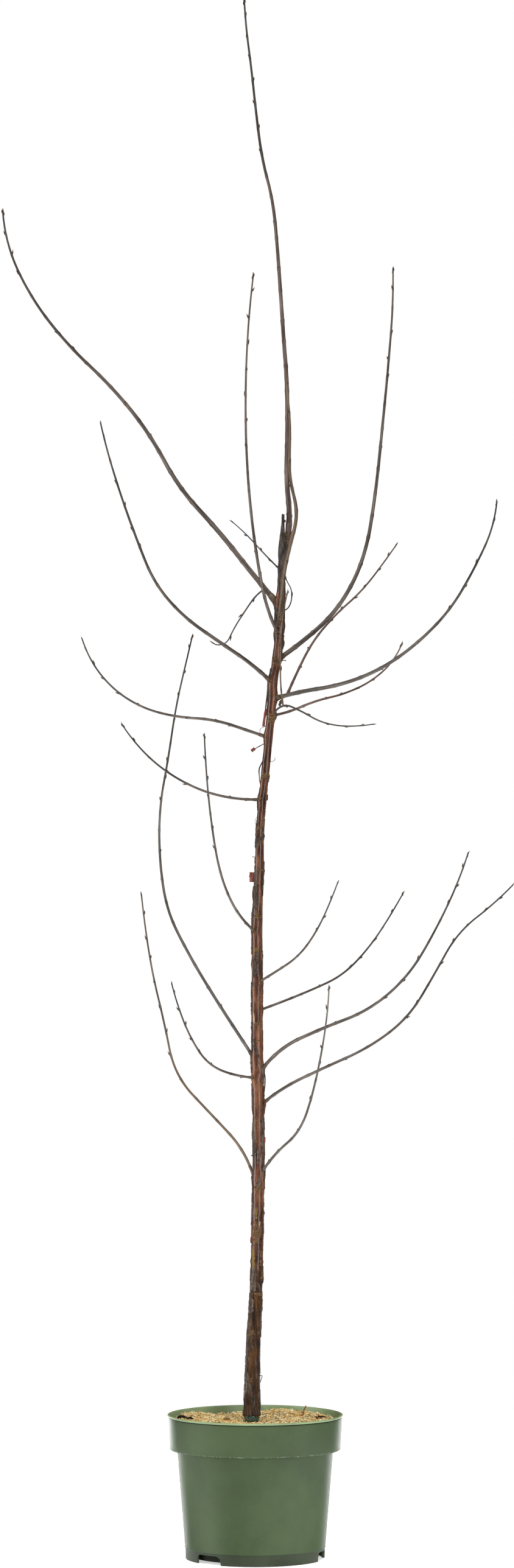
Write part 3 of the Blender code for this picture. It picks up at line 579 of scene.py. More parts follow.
# what shows on the stem from the front, in mm: finish, foot and head above the ground, left and right edge
# from the stem's middle, how far its head leans right of its foot
MARKS = (
    (PEEL, 1229, 1260, -9.5, -5.0, 4), (FLAKE, 1232, 1240, -10.0, -6.0, 0), (PEEL, 1180, 1222, 3.5, 9.0, 5),
    (PEEL, 1171, 1203, -9.0, -3.0, 0), (PEEL, 1170, 1182, -8.5, 2.5, 5), (OCHRE, 1193, 1205, -6.5, 1.0, 0),
    (OLIVE, 1130, 1168, -9.0, -6.0, 0), (OCHRE, 1127, 1132, -6.0, 7.0, 1), (PEEL, 1123, 1141, 4.8, 9.5, 0),
    (FLAKE, 1104, 1128, -7.5, -0.5, -1), (PEEL, 1068, 1106, -11.0, 0.5, -3),
    (PEEL, 1049, 1070, -11.0, -6.0, 0), (PEEL, 1098, 1118, 5.5, 9.5, 0), (OCHRE, 1050, 1063, -5.0, 2.0, 2),
    (PEEL, 1002, 1050, -10.5, -6.8, 0), (OLIVE, 990, 1003, -5.0, 3.2, 0), (PEEL, 958, 993, -7.0, 2.0, 4),
    (PEEL, 958, 995, 6.5, 10.0, 0), (FLAKE, 936, 945, -10.5, -5.0, 0), (PEEL, 893, 940, -10.5, -7.0, 0),
    (PALE, 877, 896, -6.8, -4.2, 0), (OCHRE, 875, 880, -8.0, 8.0, 1), (PEEL, 864, 878, -12.0, -6.0, -2),
    (OCHRE, 847, 851, -6.0, 6.0, -1), (PEEL, 799, 846, -0.7, 4.2, -15), (PEEL, 758, 802, 7.5, 12.0, -3),
    (PEEL, 784, 817, -10.5, -7.5, 0), (PEEL, 739, 773, -10.5, -7.5, 0), (OCHRE, 775, 779, -7.0, 4.0, 0),
    (OCHRE, 739, 746, 1.0, 7.0, 0), (OCHRE, 718, 727, -7.0, -1.5, 0), (FLAKE, 668, 721, 2.5, 10.5, 0),
    (PEEL, 662, 709, -9.8, -6.2, 0), (OCHRE, 679, 688, -6.5, -2.0, 0), (PEEL, 666, 680, -8.5, -2.0, 0),
    (FLAKE, 652, 670, -4.0, 2.0, 0), (PEEL, 634, 666, 3.2, 6.2, 2), (OCHRE, 601, 612, -9.0, 8.5, 0),
    (FLAKE, 610, 622, -4.0, 2.5, 0), (PEEL, 618, 640, 6.5, 11.5, 0), (PEEL, 576, 605, -10.5, -7.0, 0),
    (OLIVE, 556, 577, -5.5, 0.0, 0), (OCHRE, 516, 556, -8.0, 5.5, 0), (PALE, 545, 554, 1.5, 4.2, 2),
    (OLIVE, 529, 545, 4.0, 7.5, 0), (OCHRE, 517, 521, -8.0, 8.0, 0), (OLIVE, 474, 510, -9.0, -3.0, 0),
    (OCHRE, 494, 505, 4.0, 7.5, 0), (OCHRE, 480, 489, 4.5, 7.5, 0), (FLAKE, 443, 474, -6.0, 0.5, -1),
    (PEEL, 436, 450, 2.5, 7.5, -8), (OCHRE, 454, 471, 6.0, 11.5, 0), (OCHRE, 431, 437, -3.0, 11.0, 0),
    (PEEL, 424, 462, -10.0, -6.0, 0), (FLAKE, 404, 422, -8.0, -2.0, 0), (PEEL, 376, 430, -11.0, -5.0, -2),
    (PEEL, 376, 418, 8.5, 12.0, 0), (OCHRE, 378, 385, 8.0, 12.0, 0), (OCHRE, 363, 376, -11.5, 0.5, 0),
    (OCHRE, 366, 374, 5.0, 9.0, 0), (PEEL, 342, 365, -6.0, -2.2, 7), (PEEL, 312, 372, -12.5, -7.5, 2),
    (TICK, 341, 343, -4.0, 3.5, 0), (TICK, 327, 329, -9.0, 6.0, 0), (TICK, 315, 317, -5.0, 3.0, 0),
    (OCHRE, 324, 332, -9.0, -5.0, 0), (TICK, 309, 311, -8.5, -4.0, 0), (TICK, 303, 305, -7.0, -1.5, 0),
    (TICK, 298, 300, -8.0, -3.0, 0), (OCHRE, 289, 296, -6.0, -1.0, 0), (PEEL, 276, 316, -12.0, -8.5, -6),
    (PEEL, 262, 298, -7.5, -3.0, -7), (PEEL, 250, 282, -3.0, 2.5, -5), (PEEL, 232, 262, 2.5, 8.0, -3),
    (PEEL, 238, 268, 9.0, 13.0, 0), (PEEL, 226, 246, -7.5, -4.5, 0), (PEEL, 226, 256, -15.0, -12.0, 0),
    (OCHRE, 1278, 1289, -6.0, 7.5, 0), (PEEL, 1276, 1285, 5.5, 9.0, 0), (PEEL, 1392, 1460, -9.0, -4.5, 4),
    (OCHRE, 1466, 1482, -6.5, 6.5, 0), (OCHRE, 1370, 1387, -4.0, 8.0, 0), (PEEL, 1494, 1512, 4.8, 9.5, 0),
    (DEAD, 1508, 1560, -9.5, -4.5, 3), (FLAKE, 1530, 1552, -4.5, 4.5, 0), (DEAD, 1520, 1600, 5.0, 9.0, 0),
    (OCHRE, 1604, 1610, -2.0, 3.0, 0), (OCHRE, 1630, 1636, 1.0, 5.0, 0),
)
# how far each finish stands out of the bark, in mm
PROUD = {PEEL: 0.75, FLAKE: 0.55, OCHRE: 0.35, PALE: 0.30, OLIVE: 0.06, DEAD: 0.65, BRICK: 0.30, TICK: 0.16,
         SCAR: 0.30, DULL: 0.40}
# height, turn from the front, size across and rise, of the stem's knots and bulges, in metres and degrees
KNOTS = (
    (1.3795, 27.0, 8.5 * MM, 2.0 * MM), (0.3690, -62.0, 6.0 * MM, 1.4 * MM),
    (0.9750, -88.0, 5.0 * MM, 1.1 * MM), (1.1995, -25.0, 6.0 * MM, 0.7 * MM),
    (1.0560, -12.0, 6.5 * MM, 0.9 * MM), (0.5480, -8.0, 8.0 * MM, 1.0 * MM),
    (0.5665, 80.0, 4.0 * MM, 1.2 * MM), (0.3000, -12.0, 9.0 * MM, 0.8 * MM),
    (0.2800, 20.0, 9.0 * MM, 1.1 * MM), (0.4600, 75.0, 6.0 * MM, 0.8 * MM),
    (0.8780, 10.0, 5.0 * MM, 0.5 * MM), (1.1290, 60.0, 5.0 * MM, 0.8 * MM),
    (1.2835, 40.0, 6.0 * MM, 0.9 * MM), (1.4745, 20.0, 6.0 * MM, 0.8 * MM),
    (1.6590, 75.0, 3.0 * MM, 1.8 * MM),
)
# shreds of bark that stand out from the stem: finish, width and thickness, then points of the line they take
# as distance right of the pot's middle, to the back, and height, in mm
SHREDS = (
    (BRICK, 9.0, 0.5, ((-4.8, -1, 1126.5), (-5.0, -2.0, 1118.5), (-5.2, -1, 1110.5))),
    (BRICK, 2.6, 0.5, ((17.0, -1, 691.5), (17.4, -1.5, 687), (17.2, -1, 683))),
    (BRICK, 4.5, 0.6, ((17.5, -2, 1395), (15.5, -3, 1381), (13.5, -2, 1366))),
    (PEEL, 2.8, 0.6, ((26.0, 0, 1461), (22.5, -1, 1440), (19.5, -1, 1415), (16.5, -2, 1392))),
    (PEEL, 0.8, 0.6, ((12.5, -2, 1367), (8.8, -3, 1362), (8.6, -3, 1354), (10.8, -2, 1351.5))),
    (PEEL, 1.6, 0.6, ((15.0, -1, 1338), (6.0, -3, 1333), (-1.0, -4, 1329))),
    (BRICK, 4.8, 0.5, ((-0.5, -4, 1329.8), (-3.2, -4.5, 1328), (-6.2, -4.5, 1325.5))),
    (PEEL, 1.8, 0.6, ((7.5, -1, 1308), (6.6, -1.5, 1296), (6.9, -1.5, 1283), (8.6, -1, 1270))),
    (PEEL, 0.8, 0.6, ((22.5, -1, 1309), (28.0, -2, 1308.5), (31.5, -2, 1310.5), (33.0, -2, 1315))),
    (PALE, 0.7, 0.5, ((1.5, -2, 1218), (0.2, -3, 1213), (0.4, -3, 1207), (1.8, -2, 1203))),
    (DEAD, 3.2, 0.8, ((22.2, -1, 1254), (21.8, -1.5, 1249), (21.0, -1, 1244.5))),
    (BRICK, 0.9, 0.8, ((-1.0, -1, 1151.5), (-3.0, -1.5, 1151.8), (-5.2, -1.5, 1151.3))),
    (PEEL, 2.4, 0.7, ((-2.4, -1, 1104), (-3.6, -1.5, 1092), (-3.4, -1, 1080))),
    (PEEL, 1.6, 0.7, ((-6.6, 0, 874), (-8.0, -0.5, 869), (-8.2, -0.5, 865))),
    (PEEL, 2.2, 0.7, ((14.5, -1, 801), (16.2, -1, 785), (17.0, -1, 762))),
    (DEAD, 2.4, 1.6, ((-0.5, -6, 661.5), (-3.5, -7, 662.5), (-6.2, -7.5, 661.0))),
    (DEAD, 3.0, 0.8, ((13.5, -1, 640), (15.5, -1.5, 632), (15.0, -1, 624))),
    (BRICK, 2.6, 0.6, ((-5.2, -1, 530), (-6.8, -1.5, 524), (-6.4, -1, 517.5))),
    (DEAD, 2.2, 1.4, ((13.0, -2, 567), (14.8, -2.5, 566.5), (16.2, -3, 567.5))),
    (PEEL, 2.8, 0.7, ((10.5, -1, 470), (12.8, -1.5, 462), (12.4, -1, 452))),
    (PEEL, 1.1, 0.7, ((6.5, -3, 300), (11.2, -4, 299.5), (9.6, -4, 293), (6.5, -3, 285))),
    (DEAD, 3.0, 0.9, ((6.0, -3, 262), (7.2, -4, 255), (6.4, -4, 246))),
    (PEEL, 2.4, 0.8, ((45.0, -1, 1512), (47.2, -1.5, 1503), (46.6, -1, 1495))),
    (DEAD, 1.4, 1.0, ((44.5, -3, 1474), (48.5, -4, 1474.5), (51.0, -4, 1473.5))),
    (DEAD, 2.2, 0.8, ((33.0, -1, 1556), (31.8, -1.5, 1540), (32.6, -1, 1524))),
)


def rounded(values, reach):
    """A line of values with its corners eased over a number of steps."""
    padded = np.pad(values, reach, mode="edge")
    return np.convolve(padded, np.full(2 * reach + 1, 1.0 / (2 * reach + 1)), mode="valid")


def wrapped(angle):
    """The angle brought between minus and plus half a turn."""
    return (angle + math.pi) % (2.0 * math.pi) - math.pi


class Stem:
    """The stem's surface: its middle line, and its reach at each height and turn from the front."""

    def __init__(self, limbs):
        rows = np.array(TRUNK)
        self.low, self.high = rows[0, 0], rows[-1, 0]
        self.heights = np.linspace(self.low, self.high, int((self.high - self.low) / TRUNK_RING) + 1)
        self.angles = even_turns(TRUNK_SIDES)
        reach = int(round(TRUNK_EASE / TRUNK_RING))
        self.lean_x, self.lean_y, radii = [
            rounded(np.interp(self.heights, rows[:, 0], rows[:, k]), reach) for k in (1, 2, 3)]
        stub = np.interp(self.heights, *np.array(STUB_RADII).T)
        self.radii = np.where(self.heights > STUB_FROM, stub, radii / 2.0)
        self.radii = rounded(self.radii, 2)
        self.reach = self.relief(limbs)

    def spots(self):
        """The places of the smooth surface, where its noise is read."""
        out = np.stack([np.sin(self.angles), -np.cos(self.angles)], axis=-1)
        flat = self.radii[:, None, None] * out[None]
        tall = np.broadcast_to(self.heights[:, None, None], flat.shape[:2] + (1,))
        return np.concatenate([flat, tall], axis=-1).reshape(-1, 3)

    def relief(self, limbs):
        """The reach with the flare, lumps, splits at the foot, knots, collars and the dead top's ridges."""
        shape = (len(self.heights), TRUNK_SIDES)
        spots = self.spots()
        flare = FLARE_DEPTH * np.clip(1.0 - (self.heights - self.low) / FLARE_HEIGHT, 0.0, 1.0)
        lobes = np.cos(FLARE_LOBES * (self.angles - math.pi / 2.0) + FLARE_TURN)
        reach = self.radii[:, None] * (1.0 + flare[:, None] * lobes[None, :])
        reach = reach + (SLOW_RISE * lumps(spots * (1.0, 1.0, 0.6), SLOW_LUMPS, 1)
                         + FINE_RISE * lumps(spots, FINE_LUMPS, 2)).reshape(shape) * MM
        self.splits = lumps(spots * (1.0, 1.0, 0.12), SPLIT_SIZE, 6).reshape(shape)
        self.low_part = np.clip(1.0 - (self.heights - self.low) / SPLIT_REACH, 0.0, 1.0)[:, None]
        reach += self.splits * self.low_part * SPLIT_DEPTH
        ridges = lumps(spots * (1.0, 1.0, 0.3), RIDGE_SIZE, 9).reshape(shape)
        dead = self.heights > DEAD_FROM
        reach[dead] += ridges[dead] * RIDGE_RISE * MM
        self.edge = lumps(spots, EDGE_SIZE, 10).reshape(shape)
        swirl = lumps(spots, SWIRL_SIZE, 11).reshape(shape)
        swellings = [(height, math.radians(turn), size, rise) for height, turn, size, rise in KNOTS]
        for limb in limbs.values():
            if limb.on == "trunk":
                size = limb.foot * SWELL_SIZE + SWELL_MORE
                rise = limb.foot * SWELL_RISE
                swellings.append((limb.at, math.radians(limb.heading + 90.0), size, rise))
        for height, turn, size, rise in swellings:
            level = wrapped(self.angles[None, :] - turn) * self.radii[:, None]
            away = np.sqrt(level ** 2 + ((self.heights[:, None] - height) * 0.85) ** 2)
            swell = np.exp(-(away / size) ** 2)
            wrinkle = WRINKLE_RISE * np.sin(away / WRINKLE_PITCH + 2.0 * swirl)
            reach += swell * rise + np.where(away < size * 1.4, wrinkle * swell, 0.0)
        low = self.heights < PINCH_HEIGHT
        tight = np.interp(self.heights, *np.array(PINCH).T)[:, None]
        reach[low] = np.minimum(reach, tight)[low]
        return reach

    def radius_at(self, height):
        return float(np.interp(height, self.heights, self.radii))

    def at(self, height, turn, out):
        """Points on the surface, or a little out of it, at arrays of heights and turns."""
        height = np.clip(height, self.low, self.high)
        row = (height - self.low) / (self.high - self.low) * (len(self.heights) - 1)
        low = np.clip(row.astype(int), 0, len(self.heights) - 2)
        up = row - low
        column = (turn % (2.0 * math.pi)) / (2.0 * math.pi) * TRUNK_SIDES
        left = column.astype(int) % TRUNK_SIDES
        right = (left + 1) % TRUNK_SIDES
        part = column - np.floor(column)
        reach = ((self.reach[low, left] * (1 - part) + self.reach[low, right] * part) * (1 - up)
                 + (self.reach[low + 1, left] * (1 - part) + self.reach[low + 1, right] * part) * up) + out
        lean_x = self.lean_x[low] * (1 - up) + self.lean_x[low + 1] * up
        lean_y = self.lean_y[low] * (1 - up) + self.lean_y[low + 1] * up
        return np.stack([lean_x + reach * np.sin(turn), lean_y - reach * np.cos(turn), height], axis=-1)

    def edge_turn(self, across, height):
        """The turn from the front of an edge that is so far across as seen from there."""
        share = across / self.radius_at(height)
        if abs(share) > 0.98:
            return math.copysign(EDGE_TURN, share)
        return math.asin(share)


def ragged(length, cell, seed):
    """Noise along one line of distances, different for each seed."""
    return lumps(np.stack([length, np.full(len(length), seed * 0.71), np.zeros(len(length))], axis=-1), cell)


ANY_TURN = 6.28               # a whole turn in radians, to two places, for a random start
FLAKE_ROW, FLAKE_COLUMN = 1.0 * MM, 0.9 * MM
RAG_LONG, RAG_SHORT, RAG_END = 3.4 * MM, 1.5 * MM, 2.4 * MM
RIM_DEPTH = 0.35 * MM         # how deep a flake's rim sinks into the bark
LIP_IN, LIP_HALF = 1.2 * MM, 0.9 * MM  # the lifted line inside the rim, and half its width


def flake(bag, stem, rng, kind, foot, head, start, stop, lean=0.0, proud=None):
    """A flake, scar or strip on the stem, its edge ragged and lifted and its rim sunk in the bark."""
    proud = (PROUD[kind] if proud is None else proud) * MM
    tall = head - foot
    middle = (foot + head) / 2.0
    radius = stem.radius_at(middle)
    wide = (stop - start) * radius
    rows = int(np.clip(tall / FLAKE_ROW, 3, 40))
    columns = int(np.clip(wide / FLAKE_COLUMN, 4, 18))
    up = np.linspace(-1.0, 1.0, rows + 1)
    across = np.linspace(-1.0, 1.0, columns + 1)
    seed = rng.uniform(0.0, 500.0)
    rag = min(0.42, 1.8 * MM / wide + 0.10)
    run = up * tall / 2.0
    left = -1.0 - rag * ragged(run, RAG_LONG, seed) - 0.6 * rag * ragged(run, RAG_SHORT, seed + 3)
    right = 1.0 + rag * ragged(run, RAG_LONG, seed + 7) + 0.6 * rag * ragged(run, RAG_SHORT, seed + 9)
    narrow = np.clip(1.0 - np.abs(up) ** 5, 0.05, 1.0) ** 0.4
    spread = left[:, None] + (right - left)[:, None] * (across[None, :] + 1.0) / 2.0
    turn = (start + stop) / 2.0 + lean * up[:, None] / 2.0 + (stop - start) / 2.0 * narrow[:, None] * spread
    ends = ragged(across * wide / 2.0, RAG_END, seed + 13)
    reach_up = up[:, None] * (1.0 + min(0.25, 1.6 * MM / tall) * ends[None, :] * np.abs(up[:, None]) ** 3)
    height = middle + reach_up * tall / 2.0
    rim = np.minimum((1.0 - np.abs(across))[None, :] * wide / 2.0 * narrow[:, None],
                     (1.0 - np.abs(up))[:, None] * tall / 2.0)
    inside = np.clip(rim / min(0.7 * MM, wide / 5.0), 0.0, 1.0)
    lip = np.exp(-((rim - LIP_IN) / LIP_HALF) ** 2)
    flat = np.stack([height, turn * radius, np.full(height.shape, seed * 0.3)], axis=-1).reshape(-1, 3)
    rough = lumps(flat * (0.35, 1.0, 1.0), 1.6 * MM, 5).reshape(height.shape)
    lift = proud * (0.8 + 0.35 * rough + 0.55 * lip)
    points = stem.at(height, turn, -RIM_DEPTH + (lift + RIM_DEPTH) * inside)
    here = (np.arange(rows)[:, None] * (columns + 1) + np.arange(columns)[None, :]).reshape(-1)
    faces = np.stack([here, here + 1, here + columns + 2, here + columns + 1], axis=-1)
    bag.add(points, faces, kind)


def fleck(bag, stem, rng, kind, foot, tall, middle, half, lean=0.0, proud=None):
    """A flake given by its own height, and by its middle and half its width as turns."""
    flake(bag, stem, rng, kind, foot, foot + tall, middle - half, middle + half, lean, proud)


# in mm, as the shreds are: an upright shred shorter than the first lies against the stem, and one whose ends
# stand less than the second apart across is tied at both
FLUSH_BELOW = 13.0
TIED_WITHIN = 4.0


def tied(stem, width, line):
    """The line with its ends tucked into the stem's side, or all of it where it is short and upright."""
    spots = np.array(line, float)
    across, tall = np.abs(spots[-1, [0, 2]] - spots[0, [0, 2]])
    if across < tall < FLUSH_BELOW:
        ends = range(len(spots))
    else:
        ends = (0, -1) if across < TIED_WITHIN else (0,)
    for k in ends:
        row = int(np.argmin(np.abs(stem.heights - spots[k, 2] * MM)))
        middle = stem.lean_x[row] / MM
        side = math.copysign(1.0, spots[k, 0] - middle)
        reach = stem.reach[row, int(TRUNK_SIDES * (0.25 if side > 0 else 0.75))] / MM
        limit = reach - 0.6 + (width * 0.38 if width > 2.0 else 0.0)
        spots[k, 0] = middle + side * min(abs(spots[k, 0] - middle), limit)
    return spots


SHRED_STEP = 0.2              # share of the way from one point of a shred to the next
SHRED_SECTION = ((1, -1), (1.3, 0), (1, 1), (-1, 1), (-1, -1))         # out, and across


def shred(bag, kind, width, thick, line, taper=0.6):
    """A thin closed strip of bark along a curve through a few points, flat to the front."""
    knots = np.array(line) * MM
    knots = np.concatenate([2 * knots[:1] - knots[1:2], knots, 2 * knots[-1:] - knots[-2:-1]])
    curve = []
    for k in range(1, len(knots) - 2):
        a, b, c, d = knots[k - 1:k + 3]
        for t in np.arange(0.0, 1.0, SHRED_STEP):
            curve.append(0.5 * (2 * b + (c - a) * t + (2 * a - 5 * b + 4 * c - d) * t ** 2
                                + (3 * b - a - 3 * c + d) * t ** 3))
    curve = np.array(curve + [knots[-2]])
    way = np.gradient(curve, axis=0)
    way /= np.linalg.norm(way, axis=1, keepdims=True)
    side = np.cross(way, (0.0, -1.0, 0.0))
    side /= np.linalg.norm(side, axis=1, keepdims=True)
    face = np.cross(side, way)
    share = np.linspace(0.0, 1.0, len(curve))
    wide = width * MM * (1.0 + 0.22 * ragged(share * 20.0 * MM, 3.0 * MM, knots[1].sum() * 900.0))
    wide *= np.clip(1.25 - taper * share ** 3, 0.0, 1.0)
    corners = [curve + face * thick * MM * 0.5 * f + side * wide[:, None] * 0.5 * g
               for f, g in SHRED_SECTION]
    points = np.stack(corners, axis=1)
    sides = len(corners)
    last = (len(curve) - 1) * sides
    bag.add(points, [grid_faces(len(curve), sides), [list(range(sides - 1, -1, -1))],
                     [list(range(last, last + sides))]], [kind, kind, kind])


BLOB_ROWS, BLOB_SIDES = 9, 12
BLOB_CLIMB = math.pi / 2 * 0.96


def blob(bag, centre, size, kind, seed):
    """A small lumpy knob."""
    climb = np.linspace(-BLOB_CLIMB, BLOB_CLIMB, BLOB_ROWS)[:, None]
    turn = even_turns(BLOB_SIDES)[None, :]
    ball = np.stack([np.cos(climb) * np.cos(turn), np.cos(climb) * np.sin(turn),
                     np.sin(climb) + 0.0 * turn], axis=-1).reshape(-1, 3)
    swell = 1.0 + 0.22 * lumps(ball, 0.8, seed)
    points = np.array(centre) + ball * swell[:, None] * np.array(size)
    ends = np.array([centre, centre]) + np.array([[0, 0, -size[2]], [0, 0, size[2]]])
    add_tube(bag, points, ends, BLOB_SIDES, kind, kind, kind)


SHEET_LENGTH = 24.0 * MM      # a peeling patch is laid as sheets about this long


def scales(bag, stem, rng, kind, foot, head, start, stop, lean):
    """A peeling patch, laid as long sheets that overlap and differ a little."""
    count = max(int(round((head - foot) / SHEET_LENGTH)), 1)
    step = (head - foot) / count
    wide = stop - start
    for k in range(count):
        share = (k + 0.5) / count - 0.5
        shift = lean * share + rng.uniform(-0.10, 0.10) * wide
        low = foot + k * step - rng.uniform(0.0, 0.25) * step
        high = foot + (k + 1) * step + rng.uniform(0.05, 0.35) * step
        finish = rng.choice((kind, kind, kind, PEEL, FLAKE))
        trim = rng.uniform(0.0, 0.16) * wide
        other_trim = rng.uniform(0.0, 0.16) * wide
        flake(bag, stem, rng, finish, low, high, start + shift + trim, stop + shift - other_trim,
              lean / count, PROUD[kind] * rng.uniform(0.6, 1.25))
        for _ in range(2):
            spot = start + shift + rng.uniform(0.15, 0.85) * wide
            part = rng.uniform(0.08, 0.20) * wide
            foot_at = low + rng.uniform(0.0, 0.5) * step
            fleck(bag, stem, rng, rng.choice((FLAKE, DEAD, PEEL)), foot_at, rng.uniform(0.3, 0.6) * step,
                  spot, part, lean / count, PROUD[kind] * 1.35)


def crumbs(bag, stem, rng, foot, tall, start, wide):
    """The broken bark inside a tall scar: a few long scraps, then many small ones."""
    for _ in range(int(3 + tall / (4.0 * MM))):
        at = foot + tall * rng.uniform(0.05, 0.60)
        spot = start + wide * rng.uniform(0.25, 0.75)
        half = wide * rng.uniform(0.14, 0.30)
        fleck(bag, stem, rng, rng.choice((SCAR, SCAR, DULL)), at, min(tall * 0.45, 8.0 * MM), spot, half,
              rng.uniform(-0.2, 0.2), rng.uniform(0.10, 0.26))
    for _ in range(int(8 + tall * wide * stem.radius_at(foot) / (2.2 * MM) ** 2)):
        at = foot + tall * min(max(rng.gauss(0.5, 0.26), 0.05), 0.9)
        spot = start + wide * min(max(rng.gauss(0.5, 0.26), 0.05), 0.95)
        half = rng.uniform(0.7, 2.2) * MM / stem.radius_at(at)
        fleck(bag, stem, rng, rng.choice((OCHRE, OCHRE, SCAR, TICK, DULL)), at, rng.uniform(0.9, 2.4) * MM,
              spot, half, rng.uniform(-0.15, 0.15), rng.uniform(0.2, 0.5))


TALL_SCAR = 4.5 * MM          # a ringed scar taller than this is broken up inside


def wrinkles(bag, stem, rng, foot, head, start, stop):
    """A ringed scar: thin level ridges, broken and uneven."""
    height = foot
    wide = stop - start
    tall = head - foot
    if tall > TALL_SCAR:
        crumbs(bag, stem, rng, foot, tall, start, wide)
    while height < head - 0.6 * MM:
        thick = rng.uniform(0.7, 1.3) * MM
        left = start + rng.uniform(0.0, 0.30) * wide
        right = stop - rng.uniform(0.0, 0.30) * wide
        kind = rng.choice((OCHRE, OCHRE, TICK, DULL, TICK))
        flake(bag, stem, rng, kind, height, height + thick, left, right, rng.uniform(-0.12, 0.12),
              rng.uniform(0.25, 0.55))
        height += thick + rng.uniform(0.6, 1.6) * MM


MARK_SEED = 7
BACK_FROM, BACK_TO = 0.25, 1.58
EDGE_FLAKES, EDGE_FROM, EDGE_RUN = 150, 0.24, 1.36
PORES, PORES_FROM, PORES_TO = 300, 0.27, 1.58
# heights of the rings of old nodes, in mm, and how many scraps each has
NODE_RINGS = (1129.5, 1051.5, 877.5, 849.5, 777.0, 607.5, 519.5, 433.5, 1283.0, 990.0, 718.0, 368.0)
RING_SCRAPS = 7


def lay_ticks(bag, stem, rng, foot, start, stop):
    """One level row of short lenticels."""
    spot = start
    while spot < stop:
        after = min(spot + rng.uniform(0.12, 0.5), stop)
        low = foot + rng.uniform(-0.3, 0.6) * MM
        flake(bag, stem, rng, TICK, low, low + rng.uniform(0.6, 1.1) * MM, spot, after, 0.0, 0.12)
        spot = after + rng.uniform(0.03, 0.12)


def lay_mark(bag, stem, rng, kind, foot, head, left, right, lean):
    """One mark of the front, by the rule for its kind."""
    middle = (foot + head) / 2.0 * MM
    radius = stem.radius_at(middle)
    start, stop = stem.edge_turn(left * MM, middle), stem.edge_turn(right * MM, middle)
    if kind == OCHRE:
        wrinkles(bag, stem, rng, foot * MM, head * MM, start, stop)
    elif kind == TICK:
        lay_ticks(bag, stem, rng, foot * MM, start, stop)
    else:
        lay = scales if kind in (PEEL, FLAKE, DEAD) else flake
        lay(bag, stem, rng, kind, foot * MM, head * MM, start, stop, lean * MM / radius)


def lay_back(bag, stem, rng):
    """Patches dealt out up the back."""
    height = BACK_FROM
    while height < BACK_TO:
        tall = rng.uniform(12.0, 58.0) * MM
        middle = math.pi + rng.uniform(-0.85, 0.85)
        half = rng.uniform(0.2, 0.62)
        kind = rng.choice((PEEL, PEEL, PEEL, FLAKE, FLAKE, OLIVE, SCAR, BRICK))
        lay = scales if kind in (PEEL, FLAKE) else flake
        lay(bag, stem, rng, kind, height, height + tall, middle - half, middle + half, rng.uniform(-0.5, 0.5))
        height += tall * 0.6 + rng.uniform(3.0, 20.0) * MM


def lay_edges(bag, stem, rng):
    """Small flakes on both sides, more of them low down."""
    for _ in range(EDGE_FLAKES):
        height = rng.uniform(EDGE_FROM, EDGE_FROM + EDGE_RUN * rng.random() ** 0.75)
        side = rng.choice((-1.0, 1.0)) * rng.uniform(1.3, 2.3)
        half = rng.uniform(0.08, 0.24)
        kind = rng.choice((PEEL, PEEL, DEAD, FLAKE))
        fleck(bag, stem, rng, kind, height, rng.uniform(5.0, 26.0) * MM, side, half, rng.uniform(-0.25, 0.25),
              rng.uniform(0.3, 0.9))


def lay_node_rings(bag, stem, rng):
    """Broken rings of scraps where old nodes were."""
    for ring in NODE_RINGS:
        turn = rng.uniform(0.0, ANY_TURN)
        for _ in range(RING_SCRAPS):
            half = rng.uniform(0.18, 0.50)
            foot = ring * MM + rng.uniform(-2.2, 1.2) * MM
            kind = rng.choice((OCHRE, OCHRE, OCHRE, DULL, TICK))
            fleck(bag, stem, rng, kind, foot, rng.uniform(1.2, 2.8) * MM, turn, half, rng.uniform(-0.1, 0.1),
                  0.30)
            turn += half + rng.uniform(0.25, 0.7)


def lay_pores(bag, stem, rng):
    """Short level lenticels all round."""
    for _ in range(PORES):
        height = rng.uniform(PORES_FROM, PORES_TO)
        turn = rng.uniform(0.0, ANY_TURN)
        half = rng.uniform(0.6, 2.1) * MM / stem.radius_at(height)
        fleck(bag, stem, rng, TICK, height, rng.uniform(0.8, 1.3) * MM, turn, half)


def lay_marks(bag, stem):
    """The marks of the front, then what is dealt out on the back, the sides and all round."""
    rng = random.Random(MARK_SEED)
    for mark in MARKS:
        lay_mark(bag, stem, rng, *mark)
    lay_back(bag, stem, rng)
    lay_edges(bag, stem, rng)
    lay_node_rings(bag, stem, rng)
    lay_pores(bag, stem, rng)


COLLAR_SEED = 23
THICK_FOOT = 6.0 * MM         # a limb thicker than this at its foot has the larger collar
THICK_SCRAPS, THIN_SCRAPS = 30, 20


def lay_collars(bag, stem, limbs):
    """Broken rings of wrinkled bark on the swelling at the foot of each limb."""
    rng = random.Random(COLLAR_SEED)
    for limb in limbs.values():
        if limb.on != "trunk":
            continue
        turn = math.radians(limb.heading + 90.0)
        radius = stem.radius_at(limb.at)
        for _ in range(THICK_SCRAPS if limb.foot > THICK_FOOT else THIN_SCRAPS):
            spin = rng.uniform(0.0, ANY_TURN)
            away = limb.foot * rng.uniform(0.35, 1.15)
            height = limb.at + away * math.sin(spin) * 1.1
            middle = turn + away * math.cos(spin) / radius
            half = rng.uniform(0.7, 2.4) * MM / radius
            kind = rng.choice((OCHRE, OCHRE, TICK, DULL, PEEL))
            fleck(bag, stem, rng, kind, height, rng.uniform(0.9, 2.4) * MM, middle, half,
                  rng.uniform(-0.2, 0.2), rng.uniform(0.2, 0.5))


